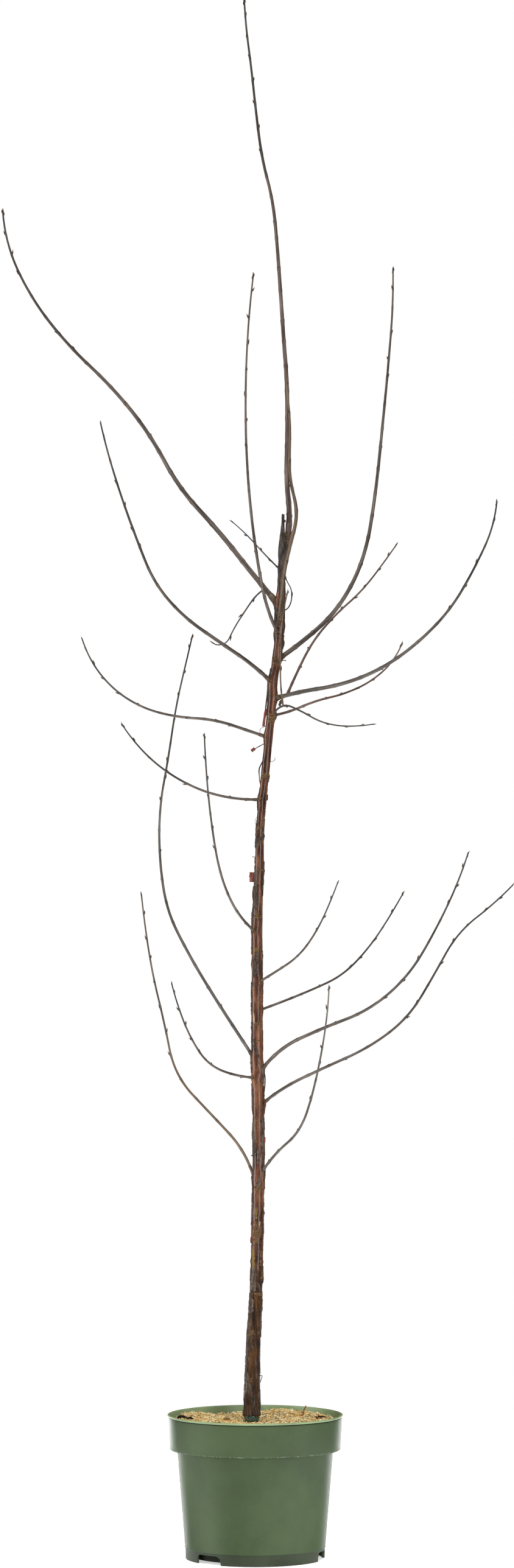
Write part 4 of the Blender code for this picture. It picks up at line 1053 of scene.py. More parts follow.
def trunk_kinds(stem):
    """The finish of each patch of the stem: glossy, darker below, split at the foot and dead at the top."""
    heights = stem.heights[:, None]
    kinds = np.full(stem.reach.shape, GLOSS)
    kinds[(heights + stem.edge * LOW_WANDER + stem.splits * LOW_FRAY) < LOW_BELOW] = LOW
    kinds[(stem.splits < -0.80 + 0.55 * stem.low_part) & (stem.low_part > 0.0)] = PEEL
    kinds[(heights + stem.edge * DEAD_WANDER) > DEAD_FROM] = DEAD
    return kinds


def make_trunk(stem, finishes):
    """The stem as one fine mesh, its bark in relief, flared at the foot and broken off at the dead top."""
    heights, angles, top, reach = stem.heights, stem.angles, stem.high, stem.reach
    near_top = np.clip((heights - (top - TOP_SLANT)) / TOP_SLANT, 0.0, 1.0)[:, None]
    drop = (0.5 + 0.5 * np.sin(angles + 1.0))[None, :] * TOP_DROP * MM * near_top
    points = np.stack([stem.lean_x[:, None] + reach * np.sin(angles),
                       stem.lean_y[:, None] - reach * np.cos(angles),
                       heights[:, None] - drop], axis=-1).reshape(-1, 3)
    crown = np.array([stem.lean_x[-1], stem.lean_y[-1], top])
    ring = points[-TRUNK_SIDES:]
    rows = [points]
    for share, rise in CROWN_RINGS:
        inner = crown + (ring - crown) * (share, share, 1.0)
        inner[:, 2] += rise
        rows.append(inner)
    ends = np.array([[stem.lean_x[0], stem.lean_y[0], stem.low], crown - (0.0, 0.0, 0.6 * MM)])
    crown_kinds = np.full(TRUNK_SIDES * len(CROWN_RINGS), DEAD)
    walls = np.concatenate([trunk_kinds(stem)[:-1].reshape(-1), crown_kinds])
    bag = Bag()
    add_tube(bag, np.concatenate(rows), ends, TRUNK_SIDES, walls, DEAD, DEAD)
    return bag.build("stem_bark", finishes)


WIDE_SHRED = 4.6              # mm: a shred wider than this isn't tied to the stem's side
# knobs on the stem: place, half its size each way, finish, seed
KNOBS = (
    ((0.0425, -0.0040, 1.4060), (3.4 * MM, 2.8 * MM, 3.4 * MM), FLAKE, 3),
    ((0.0405, -0.0050, 1.4020), (2.2 * MM, 2.4 * MM, 2.6 * MM), DEAD, 8),
    ((0.0488, 0.0010, 1.7035), (1.8 * MM, 1.8 * MM, 2.4 * MM), DEAD, 4),
)


def make_peels(stem, limbs, finishes):
    """The flakes, scars, rings, pores, collars, shreds and knobs of the stem, joined."""
    bag = Bag()
    lay_marks(bag, stem)
    lay_collars(bag, stem, limbs)
    for kind, width, thick, line in SHREDS:
        spots = np.array(line, float) if width > WIDE_SHRED else tied(stem, width, line)
        shred(bag, kind, width, thick, spots, 0.3 if kind == BRICK else 0.6)
    for knob in KNOBS:
        blob(bag, *knob)
    return bag.build("stem_peels", finishes)


# the green collar round the foot of the stem: how many sides, and its section as distance from the stem's
# middle and height, in mm
FOOT_COLLAR_SIDES = 48
FOOT_COLLAR = ((7.8, 221.0), (8.8, 221.3), (10.4, 223.4), (12.0, 227.5), (12.7, 231.5), (12.9, 233.9),
               (12.6, 234.6), (12.1, 234.2), (11.9, 231.0), (9.6, 223.6))


def make_foot_ring(stem):
    """The dark green plastic collar round the foot of the stem."""
    teal = surface("foot_ring_green", [tone(40, 70, 62), tone(60, 90, 80), tone(92, 116, 104)], size=0.005,
                   rough=(0.18, 0.32), coat=0.35, grain=0.0012)
    turns = even_turns(FOOT_COLLAR_SIDES)
    rows = []
    for radius, height in FOOT_COLLAR + FOOT_COLLAR[:1]:
        rows.append(np.stack([stem.lean_x[0] + radius * MM * np.sin(turns),
                              stem.lean_y[0] - radius * MM * np.cos(turns),
                              np.full(FOOT_COLLAR_SIDES, height * MM)], axis=-1))
    bag = Bag()
    bag.add(np.concatenate(rows), grid_faces(len(rows), FOOT_COLLAR_SIDES), 0)
    return bag.build("foot_ring", [teal])


# ---------------------------------------------------------------- limbs
(SHOOT_DARK, SHOOT_GREY, SHOOT_TAUPE, SHOOT_RED, SHOOT_TAN, SHOOT_PLUM, SHOOT_SCAR, SHOOT_BUD,
 SHOOT_TIP, SHOOT_OCHRE) = range(10)
LIMB_RING = 1.9 * MM
FOOT_SPREAD = {"leader": 52.0 * MM, "left_9": 22.0 * MM}      # how far up the thickening at a foot reaches
# how the leader's foot sinks into the stem: share of the way to its middle, drop, and growth
LEADER_ROOT = ((1.0, -17.0 * MM, 0.80), (0.75, -12.0 * MM, 0.92), (0.30, -6.0 * MM, 1.03))
SHADE_RUN = 90.0 * MM         # the stretch over which older wood gives way to the shoot
LEADER_FLECKS = 34
BOUGH_SIDES = 14
WHIP_SIDES = 12
# which finish each limb's older wood and its last shoot take; the rest are taupe, with dark shoots
BOUGH_KINDS = {"leader": SHOOT_PLUM, "front": SHOOT_TAN, "right_8": SHOOT_RED, "right_6": SHOOT_RED,
               "right_7": SHOOT_GREY, "right_9": SHOOT_TAUPE, "left_6": SHOOT_TAUPE, "left_1": SHOOT_TAN,
               "right_1": SHOOT_GREY, "left_3": SHOOT_GREY}
WHIP_KINDS = {"front": SHOOT_TAN, "right_8": SHOOT_RED, "right_6": SHOOT_RED, "twig_front": SHOOT_TAN,
              "left_1": SHOOT_TAUPE, "right_9": SHOOT_TAUPE, "left_8": SHOOT_PLUM, "right_1": SHOOT_GREY}


def shoot_finishes():
    """The finishes of boughs, shoots and buds, in the order of their numbers."""
    streak = (1.0, 1.0, 0.05)

    def wood(name, dark, middle, light):
        return surface(name, [tone(*dark), tone(*middle), tone(*light)], size=0.0024, stretch=streak,
                       rough=(0.42, 0.60), shine=0.35, grain=0.0007, depth=0.5,
                       speck=(tone(150, 140, 128), 0.0011, 0.66, 0.6))

    return [
        wood("shoot_dark", (40, 35, 33), (70, 63, 58), (98, 91, 85)),
        wood("shoot_grey", (56, 51, 47), (94, 87, 81), (130, 123, 116)),
        wood("shoot_taupe", (52, 44, 39), (92, 82, 74), (130, 119, 109)),
        wood("shoot_red", (64, 46, 40), (106, 83, 73), (138, 115, 104)),
        wood("shoot_tan", (68, 53, 41), (108, 90, 72), (138, 118, 97)),
        wood("shoot_plum", (60, 46, 41), (102, 84, 76), (136, 120, 110)),
        surface("shoot_scar", [tone(58, 44, 34), tone(100, 78, 58)], size=0.003, rough=(0.60, 0.80),
                shine=0.3),
        surface("shoot_bud", [tone(46, 38, 34), tone(70, 58, 50), tone(92, 77, 66)], size=0.0022,
                shine=0.4),
        surface("shoot_tip", [tone(60, 47, 40), tone(92, 72, 58)], size=0.002, rough=(0.45, 0.65),
                shine=0.4),
        surface("shoot_ochre", [tone(70, 54, 38), tone(112, 88, 58), tone(140, 112, 76)], size=0.0022,
                rough=(0.60, 0.80), shine=0.3, grain=0.0006, depth=0.6),
    ]


def frames_along(ways):
    """Two square directions at each ring that turn as little as the run allows."""
    side = Vector(ways[0]).orthogonal().normalized()
    found = []
    for way in ways:
        side = (side - way * side.dot(way)).normalized()
        found.append((side.copy(), way.cross(side)))
    return found


def tube(bag, stops, centres, ways, radii, sides, kinds, seed, rough=0.045, rings=None):
    """A closed tube along a line, its skin a little uneven; rings are extra reaches at each stop."""
    squares = frames_along(ways)
    turns = even_turns(sides)
    side = np.array([pair[0] for pair in squares])
    other = np.array([pair[1] for pair in squares])
    out = side[:, None, :] * np.cos(turns)[None, :, None] + other[:, None, :] * np.sin(turns)[None, :, None]
    reach = np.repeat(np.asarray(radii)[:, None], sides, axis=1)
    if rings is not None:
        reach = reach + rings[:, None]
    skin = centres[:, None, :] + out * reach[:, :, None]
    reach = reach * (1.0 + rough * lumps(skin.reshape(-1, 3), 7.0 * MM, seed).reshape(reach.shape))
    points = (centres[:, None, :] + out * reach[:, :, None]).reshape(-1, 3)
    grain = np.stack([reach * np.cos(turns), reach * np.sin(turns),
                      np.broadcast_to(stops[:, None] + seed * 0.37, reach.shape)], axis=-1).reshape(-1, 3)
    ends = np.array([centres[0], centres[-1]])
    kinds = np.asarray(kinds)
    if kinds.ndim == 1:
        walls = np.repeat(kinds[:-1], sides)
    elif kinds.ndim == 2:
        walls = kinds[:-1].reshape(-1)
    else:
        walls = kinds
    last = kinds.reshape(-1)[-1]
    add_tube(bag, points, ends, sides, walls, last, last, np.concatenate([grain, grain[:1], grain[-1:]]))


FOOT_SWELL, COLLAR_SWELL = 0.25, 0.55         # how much thicker a limb is at its foot, and close to the stem


def girth(limb, distance):
    """The limb's radius with the thickening where it leaves the stem."""
    spread = FOOT_SPREAD.get(limb.name, limb.foot * 1.4)
    more = FOOT_SWELL * math.exp(-(distance / spread) ** 2)
    if limb.on == "trunk" and limb.name != "leader":
        more += COLLAR_SWELL * math.exp(-(distance / (0.7 * limb.foot)) ** 2)
    return limb.radius(distance) * (1.0 + more)


MIST_REACH = 4.0 * MM
NODE_HALF, NODE_RISE = 3.4 * MM, 0.13         # half the length of the swelling at a node, and its rise
# how a limb's foot sinks into the stem: share of the way to its middle, drop as a share of the limb's
# diameter at its foot, and growth
LIMB_ROOT = ((0.9, -0.5, 0.9), (0.45, -0.2, 1.0))
ROOT_RING = 1.5 * MM
SLEEVE_BELOW = 4.5 * MM       # where a sleeve starts and ends, from where the limb's own solid starts
SLEEVE_ABOVE, THICK_SLEEVE_ABOVE = 5.5 * MM, 9.0 * MM
SLEEVE_RING, SLEEVE_SIDES = 0.6 * MM, 16
SLEEVE_PITCH = 0.45 * MM


def mist(stops, sides, stretch, cell, seed):
    """Noise over a limb's skin, by which one finish gives way to another in patches."""
    turns = even_turns(sides)
    across = MIST_REACH * np.cos(turns)[None, :]
    back = MIST_REACH * np.sin(turns)[None, :]
    spots = np.stack(np.broadcast_arrays(across, back, stops[:, None] * stretch), axis=-1)
    return lumps(spots.reshape(-1, 3), cell, seed).reshape(spots.shape[:2])


def sunk(limb, stops, centres, ways, radii, swell):
    """The rings of a limb's tube with a few more before them, sunk into the stem."""
    inward = np.array(trunk_centre(limb.at)[0]) - centres[0]
    inward[2] = 0.0
    drops = [(share, drop * limb.foot, grown) for share, drop, grown in LIMB_ROOT]
    if limb.name == "leader":
        drops = LEADER_ROOT
    roots = [centres[0] + inward * share + (0.0, 0.0, drop) for share, drop, _ in drops]
    centres = np.concatenate([roots, centres])
    stops = np.concatenate([-ROOT_RING * np.arange(len(drops), 0, -1), stops])
    radii = np.concatenate([[radii[0] * grown for _, _, grown in drops], radii])
    swell = np.concatenate([np.zeros(len(drops)), swell])
    ways = [Vector(centres[k + 1] - centres[k]).normalized() for k in range(len(drops))] + ways
    return stops, centres, ways, radii, swell


def limb_tube(bag, limb, low, high, sides, nodes, kind, seed, older=None):
    """The limb between two distances, rooted in the stem, swollen a little at its foot and at each node.

    older is the finish of the wood before it, which gives way in patches over the first stretch.
    """
    count = max(int((high - low) / LIMB_RING), 2)
    stops = np.linspace(low, high, count + 1)
    radii = np.array([girth(limb, s) for s in stops])
    swell = np.zeros(len(stops))
    for spot, _ in nodes:
        swell += np.exp(-((stops - spot) / NODE_HALF) ** 2) * NODE_RISE * limb.radius(spot)
    centres = np.array([limb.place(s) for s in stops])
    ways = [limb.way(s) for s in stops]
    if low == 0.0 and limb.on == "trunk":
        stops, centres, ways, radii, swell = sunk(limb, stops, centres, ways, radii, swell)
    if older is not None:
        patches = mist(stops, sides, 0.22, 2.2 * MM, seed + 50)
        kind = np.where((stops - low)[:, None] / SHADE_RUN + 0.5 * patches > 0.5, kind, older)
    elif low == 0.0 and limb.on == "trunk" and limb.name != "leader":
        kind = np.where(stops < 1.1 * limb.foot, SHOOT_SCAR, kind)
    tube(bag, stops, centres, ways, radii, sides, kind, seed, 0.035, swell)


def sleeve(bag, limb, seed, kind):
    """The slightly swollen and wrinkled ring of bark that a limb grows out of."""
    low = max(limb.start - SLEEVE_BELOW, 0.0)
    high = limb.start + (THICK_SLEEVE_ABOVE if limb.foot > THICK_FOOT else SLEEVE_ABOVE)
    stops = np.arange(low, high, SLEEVE_RING)
    share = (stops - low) / (high - low)
    rng = random.Random(seed)
    wave = np.array([math.sin(s / SLEEVE_PITCH) * 0.4 + rng.uniform(-0.6, 0.6) for s in stops])
    radii = np.array([girth(limb, s) for s in stops]) * (0.98 + 0.13 * np.sin(math.pi * share) ** 2)
    patches = mist(stops, SLEEVE_SIDES, 1.5, 1.9 * MM, seed + 70)
    kinds = np.where(patches > 0.28, SHOOT_OCHRE, np.where(patches < -0.05, SHOOT_SCAR, kind))
    tube(bag, stops, np.array([limb.place(s) for s in stops]), [limb.way(s) for s in stops], radii,
         SLEEVE_SIDES, kinds, seed, 0.18, wave * 0.05 * MM)


# share of a bud's length, and share of its width there
BUD_ROWS = ((0.0, 0.50), (0.07, 0.74), (0.18, 0.92), (0.32, 1.0), (0.46, 0.95), (0.60, 0.80), (0.74, 0.58),
            (0.86, 0.34), (0.95, 0.15))
BUD_SIDES = 9
BUD_BEND = 0.13


def bud(bag, base, way, out, length, width, kind):
    """A narrow pointed bud of overlapping scales, bent a little back to its shoot."""
    way = Vector(way).normalized()
    side = (Vector(out) - way * Vector(out).dot(way)).normalized()
    way, side, other = np.array(way), np.array(side), np.array(way.cross(side))
    turns = even_turns(BUD_SIDES)
    base = np.array(base)
    rows = []
    for k, (share, wide) in enumerate(BUD_ROWS):
        scaly = 0.93 + 0.09 * np.sin(2.0 * turns + 2.1 * k)
        reach = width / 2.0 * wide * scaly
        centre = base + way * length * share - side * length * BUD_BEND * share ** 2
        rows.append(centre + side * (reach * np.cos(turns))[:, None]
                    + other * (reach * np.sin(turns))[:, None])
    tip = base + way * length - side * length * BUD_BEND
    walls = np.full(len(BUD_ROWS) - 1, kind)
    walls[:2] = SHOOT_SCAR
    add_tube(bag, rows, [base, tip], BUD_SIDES, np.repeat(walls, BUD_SIDES), kind, kind)


def round_shoot(limb, distance, turn):
    """The way out from a shoot at a distance, at a turn in degrees round it, as the solids' rule has it."""
    way = limb.way(distance)
    side = way.orthogonal().normalized()
    other = way.cross(side)
    return way, side * math.cos(math.radians(turn)) + other * math.sin(math.radians(turn))


# shares of the buds that take the tip's finish, that are plump, and that have a smaller one beside them
TIP_LIKE, PLUMP, PAIRED = 0.2, 0.22, 0.35


def dress_whip(bag, limb, places, rng):
    """Buds where the rule has them, a cluster at the tip, and the finer buds beside some of them."""
    for distance, turn, lean, length in places:
        way, out = round_shoot(limb, distance, turn)
        radius = limb.radius(distance)
        aim = way * math.cos(math.radians(lean)) + out * math.sin(math.radians(lean))
        kind = SHOOT_TIP if rng.random() < TIP_LIKE else SHOOT_BUD
        plump = rng.random() < PLUMP
        bud(bag, limb.place(distance) + out * radius * 0.35, aim, out, length * (0.72 if plump else 0.95),
            (3.3 if plump else rng.uniform(2.3, 2.8)) * MM, kind)
        if rng.random() < PAIRED:
            _, beside = round_shoot(limb, distance, turn + rng.choice((-38.0, 38.0)))
            base = limb.place(distance - 0.6 * MM) + beside * radius * 0.4
            bud(bag, base, way * 0.86 + beside * 0.5, beside, length * 0.6, 2.0 * MM, SHOOT_BUD)
    tip = limb.length
    way = limb.way(tip)
    start = rng.uniform(0.0, 360.0)
    out = round_shoot(limb, tip, start)[1]
    bud(bag, limb.place(tip) - way * 3.0 * MM, way, out, 8.9 * MM, limb.tip * 1.15, SHOOT_TIP)
    for k in range(2):
        _, out = round_shoot(limb, tip, start + 60.0 + 165.0 * k)
        bud(bag, limb.place(tip - (3.0 + 4.0 * k) * MM) + out * limb.tip * 0.30, way * 0.96 + out * 0.28, out,
            6.4 * MM, limb.tip * 0.92, SHOOT_BUD)


# the pegs of older wood, in mm and degrees
PEG_FIRST, PEG_LAST, PEG_SPACING = (14.0, 36.0), 8.0, (26.0, 52.0)
PEG_LEAN, PEG_SWAY = (20.0, 42.0), 20.0
PEG_LENGTH, PEG_WIDTH = (3.0, 5.0), (2.2, 3.0)


def dress_bough(bag, limb, low, high, rng):
    """Short pegs and blunt buds on older wood, at nodes that follow the same turn."""
    found = []
    turn = rng.uniform(0.0, 360.0)
    distance = low + rng.uniform(*PEG_FIRST) * MM
    while distance < high - PEG_LAST * MM:
        way, out = round_shoot(limb, distance, turn)
        lean = math.radians(rng.uniform(*PEG_LEAN))
        aim = way * math.cos(lean) + out * math.sin(lean)
        base = limb.place(distance) + out * limb.radius(distance) * 0.6
        bud(bag, base, aim, out, rng.uniform(*PEG_LENGTH) * MM, rng.uniform(*PEG_WIDTH) * MM, SHOOT_BUD)
        found.append((distance, turn))
        distance += rng.uniform(*PEG_SPACING) * MM
        turn += BUD_TURN + rng.uniform(-PEG_SWAY, PEG_SWAY)
    return found


FINE_SEED = 5
BOUGH_SEED, WHIP_SEED, SLEEVE_SEED, KNOB_SEED, FLECK_SEED = 100, 200, 300, 399, 400
# the knob where the leader leaves the stem: place, and half its size each way
LEADER_KNOB = ((0.0492, 0.0042, 1.6735), (3.9 * MM, 3.9 * MM, 7.0 * MM))


def fleck_leader(bag, leader, rng):
    """Small knobs of ochre and scarred bark on the foot of the leader."""
    for k in range(LEADER_FLECKS):
        distance = rng.uniform(2.0, 58.0) * MM
        _, out = round_shoot(leader, distance, rng.uniform(0.0, 360.0))
        spot = leader.place(distance) + out * leader.radius(distance) * 1.12
        size = np.array((1.0, 0.9, 1.2)) * rng.uniform(0.5, 1.0) * MM
        blob(bag, spot, size, rng.choice((SHOOT_OCHRE, SHOOT_OCHRE, SHOOT_SCAR)), FLECK_SEED + k)


def make_limbs(limbs, finishes):
    """Boughs in one mesh, shoots in another and buds in a third."""
    boughs, shoots, buds = Bag(), Bag(), Bag()
    rng = random.Random(BUD_SEED)
    fine = random.Random(FINE_SEED)
    for k, limb in enumerate(limbs.values()):
        cuts = cuts_of(limb)
        places = bud_places(limb, rng)
        nodes = [(spot, turn) for spot, turn, _, _ in places]
        dress_whip(buds, limb, places, fine)
        young = WHIP_KINDS.get(limb.name, SHOOT_DARK)
        if len(cuts) > 2:
            old_nodes = dress_bough(buds, limb, limb.start, cuts[-2], fine)
            old = BOUGH_KINDS.get(limb.name, SHOOT_TAUPE)
            limb_tube(boughs, limb, 0.0, cuts[-2], BOUGH_SIDES, old_nodes, old, BOUGH_SEED + k)
            limb_tube(shoots, limb, cuts[-2], limb.length, WHIP_SIDES, nodes, young, WHIP_SEED + k, old)
            sleeve(boughs, limb, SLEEVE_SEED + k, old)
        else:
            limb_tube(shoots, limb, 0.0, limb.length, WHIP_SIDES, nodes, young, WHIP_SEED + k)
            sleeve(shoots, limb, SLEEVE_SEED + k, young)
    blob(boughs, *LEADER_KNOB, SHOOT_PLUM, KNOB_SEED)
    fleck_leader(boughs, limbs["leader"], fine)
    return [boughs.build("bough_bark_mesh", finishes), shoots.build("shoot_bark_mesh", finishes),
            buds.build("buds_mesh", finishes)]


# ---------------------------------------------------------------- the pot
POT_OUTSIDE, POT_LIT_INSIDE, POT_SHADE, POT_FOOT, POT_GROOVE_SHADE = range(5)
BEAD_STEPS = 8
BEAD_FROM, BEAD_SWING = -70.0, 250.0          # degrees of the lip's bead, from its outer foot over its top
BEAD_WIDE, BEAD_TALL = 1.7 * MM, 1.8 * MM
INSIDE_POINTS = 8             # the last points of the profile, from the end of the bead down the inside
SHARP_EDGE = math.radians(38.0)


def pot_profile():
    """The wall from the middle of the underside, out, up the outside, over the lip and down the inside."""
    lip = POT_HEIGHT - POT_LIP
    bead = []
    for k in range(BEAD_STEPS + 1):
        turn = math.radians(BEAD_FROM + BEAD_SWING * k / BEAD_STEPS)
        bead.append((POT_RIM_RADIUS - BEAD_WIDE + BEAD_WIDE * math.cos(turn),
                     POT_HEIGHT - BEAD_TALL + BEAD_TALL * math.sin(turn)))
    return [
        (0.0, 0.0),
        (PAD_RADIUS, 0.0),
        (PAD_RADIUS + 1.5 * MM, CHANNEL_HEIGHT),
        (RECESS_RADIUS - 1.8 * MM, CHANNEL_HEIGHT),
        (RECESS_RADIUS - 1.6 * MM, RECESS_HEIGHT),
        (RECESS_RADIUS - 0.2 * MM, RECESS_HEIGHT),
        (RECESS_RADIUS, CHANNEL_HEIGHT),
        (FOOT_RADIUS - FOOT_RING + 0.8 * MM, CHANNEL_HEIGHT),
        (FOOT_RADIUS - FOOT_RING, 0.0),
        (FOOT_RADIUS - 1.2 * MM, 0.0),
        (FOOT_RADIUS - 0.4 * MM, 0.3 * MM),
        (FOOT_RADIUS, 1.2 * MM),
        (HEEL_RADIUS - 0.9 * MM, HEEL_HEIGHT - 1.6 * MM),
        (HEEL_RADIUS - 0.2 * MM, HEEL_HEIGHT - 1.1 * MM),
        (HEEL_RADIUS + 0.35 * MM, HEEL_HEIGHT - 0.5 * MM),
        (HEEL_RADIUS + 0.35 * MM, HEEL_HEIGHT + 0.1 * MM),
        (HEEL_RADIUS + 0.05 * MM, HEEL_HEIGHT + 0.7 * MM),
        (SHOULDER_RADIUS - 0.3 * MM, BAND_HEIGHT - 6.0 * MM),
        (SHOULDER_RADIUS + 0.5 * MM, BAND_HEIGHT - 1.8 * MM),
        (SHOULDER_RADIUS + 2.4 * MM, BAND_HEIGHT - 0.2 * MM),
        (BAND_RADIUS - 1.8 * MM, BAND_HEIGHT),
        (BAND_RADIUS - 0.6 * MM, BAND_HEIGHT + 0.5 * MM),
        (BAND_RADIUS, BAND_HEIGHT + 2.0 * MM),
        (BAND_RADIUS + 0.2 * MM, BAND_HEIGHT + 6.0 * MM),
        (POT_RIM_RADIUS - 1.5 * MM, lip - 3.0 * MM),
        (POT_RIM_RADIUS - 2.0 * MM, lip - 1.0 * MM),
        (POT_RIM_RADIUS - 2.3 * MM, lip),
    ] + bead + [
        (POT_RIM_RADIUS - POT_WALL - 1.6 * MM, POT_HEIGHT - 3.0 * MM),
        (BAND_RADIUS - POT_WALL, BAND_HEIGHT + POT_WALL),
        (SHOULDER_RADIUS - POT_WALL, BAND_HEIGHT + POT_WALL),
        (FOOT_RADIUS - POT_WALL + 0.8 * MM, CHANNEL_HEIGHT + POT_WALL),
        (PAD_RADIUS - 0.7 * MM, CHANNEL_HEIGHT + POT_WALL),
        (PAD_RADIUS - 2.2 * MM, POT_WALL),
        (0.0, POT_WALL),
    ]


def lathe(name, profile, segments, finishes, lift=None, kinds=None):
    """A closed profile of (radius, height) pairs spun round the upright axis; kinds go with its points."""
    inner = profile[1:-1]
    turns = even_turns(segments)
    radius = np.array([p[0] for p in inner])[:, None]
    height = np.array([p[1] for p in inner])[:, None]
    points = np.stack([radius * np.cos(turns), radius * np.sin(turns),
                       np.broadcast_to(height, (len(inner), segments))], axis=-1)
    if lift:
        points[:, :, 2] += lift(points)
    ends = np.array([(0.0, 0.0, profile[0][1]), (0.0, 0.0, points[-1, :, 2].mean())])
    walls = 0 if kinds is None else np.repeat(kinds[1:-2], segments)
    bag = Bag()
    add_tube(bag, points, ends, segments, walls, 0, 0)
    return bag.build(name, finishes)


def regrain(piece):
    """Lets the grain run with the piece's own places."""
    mesh = piece.data
    places = np.empty(len(mesh.vertices) * 3, np.float32)
    mesh.vertices.foreach_get("co", places)
    if GRAIN in mesh.attributes:
        mesh.attributes.remove(mesh.attributes[GRAIN])
    mesh.attributes.new(GRAIN, "FLOAT_VECTOR", "POINT").data.foreach_set("vector", places)


def cutter(points, faces):
    """A closed block that a Boolean takes away."""
    mesh = bpy.data.meshes.new("cutter")
    mesh.from_pydata([tuple(p) for p in points], [], faces)
    return bpy.data.objects.new("cutter", mesh)


def prism(low, high):
    """A cutter between two matching rings of points."""
    count = len(low)
    faces = [tuple(range(count - 1, -1, -1)), tuple(range(count, 2 * count))]
    for k in range(count):
        after = (k + 1) % count
        faces.append((k, after, after + count, k + count))
    return cutter(low + high, faces)


def notch(azimuth):
    """A block that cuts one drainage notch through the foot ring, its right side slanting."""
    turn = math.radians(azimuth)
    out = Vector((math.cos(turn), math.sin(turn), 0.0))
    along = Vector((-math.sin(turn), math.cos(turn), 0.0))
    half = NOTCH_WIDTH / 2.0
    outline = [(-half, -NOTCH_BELOW), (half + NOTCH_SLANT, -NOTCH_BELOW), (half, NOTCH_HEIGHT * 0.72),
               (half - 4.0 * MM, NOTCH_HEIGHT * 0.93), (half - 7.5 * MM, NOTCH_HEIGHT),
               (-half + 6.0 * MM, NOTCH_HEIGHT), (-half + 2.4 * MM, NOTCH_HEIGHT * 0.93),
               (-half, NOTCH_HEIGHT * 0.72)]
    rings = []
    for reach in (RECESS_RADIUS + 0.8 * MM, FOOT_RADIUS + NOTCH_OUTSIDE):
        rings.append([out * reach + along * x + Vector((0.0, 0.0, z)) for x, z in outline])
    return prism(*rings)


def drain(turn):
    """A round bar that cuts one drain hole, at a turn round the pot."""
    spot = Vector((DRAIN_CIRCLE * math.cos(turn), DRAIN_CIRCLE * math.sin(turn), 0.0))
    rings = []
    for height in (CHANNEL_HEIGHT - DRAIN_MARGIN, CHANNEL_HEIGHT + POT_WALL + DRAIN_MARGIN):
        ring = []
        for k in range(DRAIN_SIDES):
            swing = 2.0 * math.pi * k / DRAIN_SIDES
            across, back = DRAIN_RADIUS * math.cos(swing), DRAIN_RADIUS * math.sin(swing)
            ring.append(spot + Vector((across, back, height)))
        rings.append(ring)
    return prism(*rings)


def cut_away(target, cutters):
    """One Boolean on a collection of cutters, applied; the cutters are removed."""
    bag = bpy.data.collections.new("cutters")
    bpy.context.scene.collection.children.link(bag)
    for block in cutters:
        bag.objects.link(block)
    change = target.modifiers.new("cut", "BOOLEAN")
    change.operation = "DIFFERENCE"
    change.operand_type = "COLLECTION"
    change.collection = bag
    change.solver = "EXACT"
    bpy.context.view_layer.objects.active = target
    bpy.ops.object.modifier_apply(modifier=change.name)
    for block in list(bag.objects):
        bpy.data.objects.remove(block)
    bpy.data.collections.remove(bag)


def pot_finishes():
    """The finishes of the pot's plastic, in the order of their numbers."""
    speck = (tone(120, 130, 112), 0.0012, 0.66, 0.35)
    belt = (tone(142, 153, 134), BAND_HEIGHT + 1.0 * MM, 1.5 * MM, 5.0 * MM, 0.42)
    return [
        surface("pot_green", [tone(58, 73, 47), tone(64, 80, 52), tone(70, 87, 57)], size=0.11,
                rough=(0.48, 0.56), shine=0.24, depth=0.22, speck=speck, belt=belt),
        # A lighter copy of the pot's green, painted light, for the inside wall and the top of the lip.
        surface("pot_green_inside_painted_light", [tone(126, 146, 105), tone(140, 161, 118), tone(152, 172, 130)],
                size=0.05, rough=(0.40, 0.50), shine=0.4, depth=0.22, speck=speck),
        # A near-black green painted as shade on the channel under the pot, the wall behind the notches and
        # the inside of the foot ring.
        surface("pot_green_painted_shade", [tone(20, 23, 15), tone(28, 32, 21)], size=0.03, rough=(0.6, 0.7),
                shine=0.1),
        surface("pot_green_foot", [tone(40, 49, 32), tone(46, 56, 37), tone(52, 62, 42)], size=0.06,
                rough=(0.40, 0.50), shine=0.3, speck=speck),
        # A darker green painted as shade in the groove under the lip and on the step under the band.
        surface("pot_green_groove_shade", [tone(36, 41, 28), tone(46, 52, 38)], size=0.03, rough=(0.5, 0.6),
                shine=0.2),
    ]


def pot_kind(radius, height, height_after, outer):
    """The finish of the wall from one point of the profile to the next; outer is true outside the lip."""
    lip = POT_HEIGHT - POT_LIP
    under_band = BAND_HEIGHT - 2.0 * MM <= height < BAND_HEIGHT
    under_lip = lip - 1.5 * MM < height <= lip and radius <= POT_RIM_RADIUS - 1.9 * MM
    # the channel under the pot, the wall behind the notches and the inside of the foot ring take painted
    # shade
    if height <= CHANNEL_HEIGHT and radius <= FOOT_RADIUS - FOOT_RING + 1.0 * MM:
        return POT_SHADE
    if outer and height_after < HEEL_HEIGHT - 0.8 * MM:
        return POT_FOOT
    # the groove under the lip and the step under the band take painted shade
    if outer and (under_band or under_lip):
        return POT_GROOVE_SHADE
    # the inside and the top of the lip take the lighter green of painted light
    return POT_OUTSIDE if outer and height <= lip else POT_LIT_INSIDE


def make_pot():
    """The moulded pot: bead lip, groove, band, mould line, foot ring, notches and drain holes."""
    profile = pot_profile()
    kinds = []
    for k, (radius, height) in enumerate(profile):
        after = profile[min(k + 1, len(profile) - 1)]
        kinds.append(pot_kind(radius, height, after[1], k < len(profile) - INSIDE_POINTS))
    pot = lathe("pot_shell", profile, POT_SEGMENTS, pot_finishes(), None, kinds)
    blocks = [notch(azimuth) for azimuth in NOTCH_AZIMUTHS]
    for azimuth in NOTCH_AZIMUTHS:
        for swing in DRAIN_SWINGS:
            blocks.append(drain(math.radians(azimuth + swing)))
    cut_away(pot, blocks)
    pot.data.set_sharp_from_angle(angle=SHARP_EDGE)
    regrain(pot)
    return pot


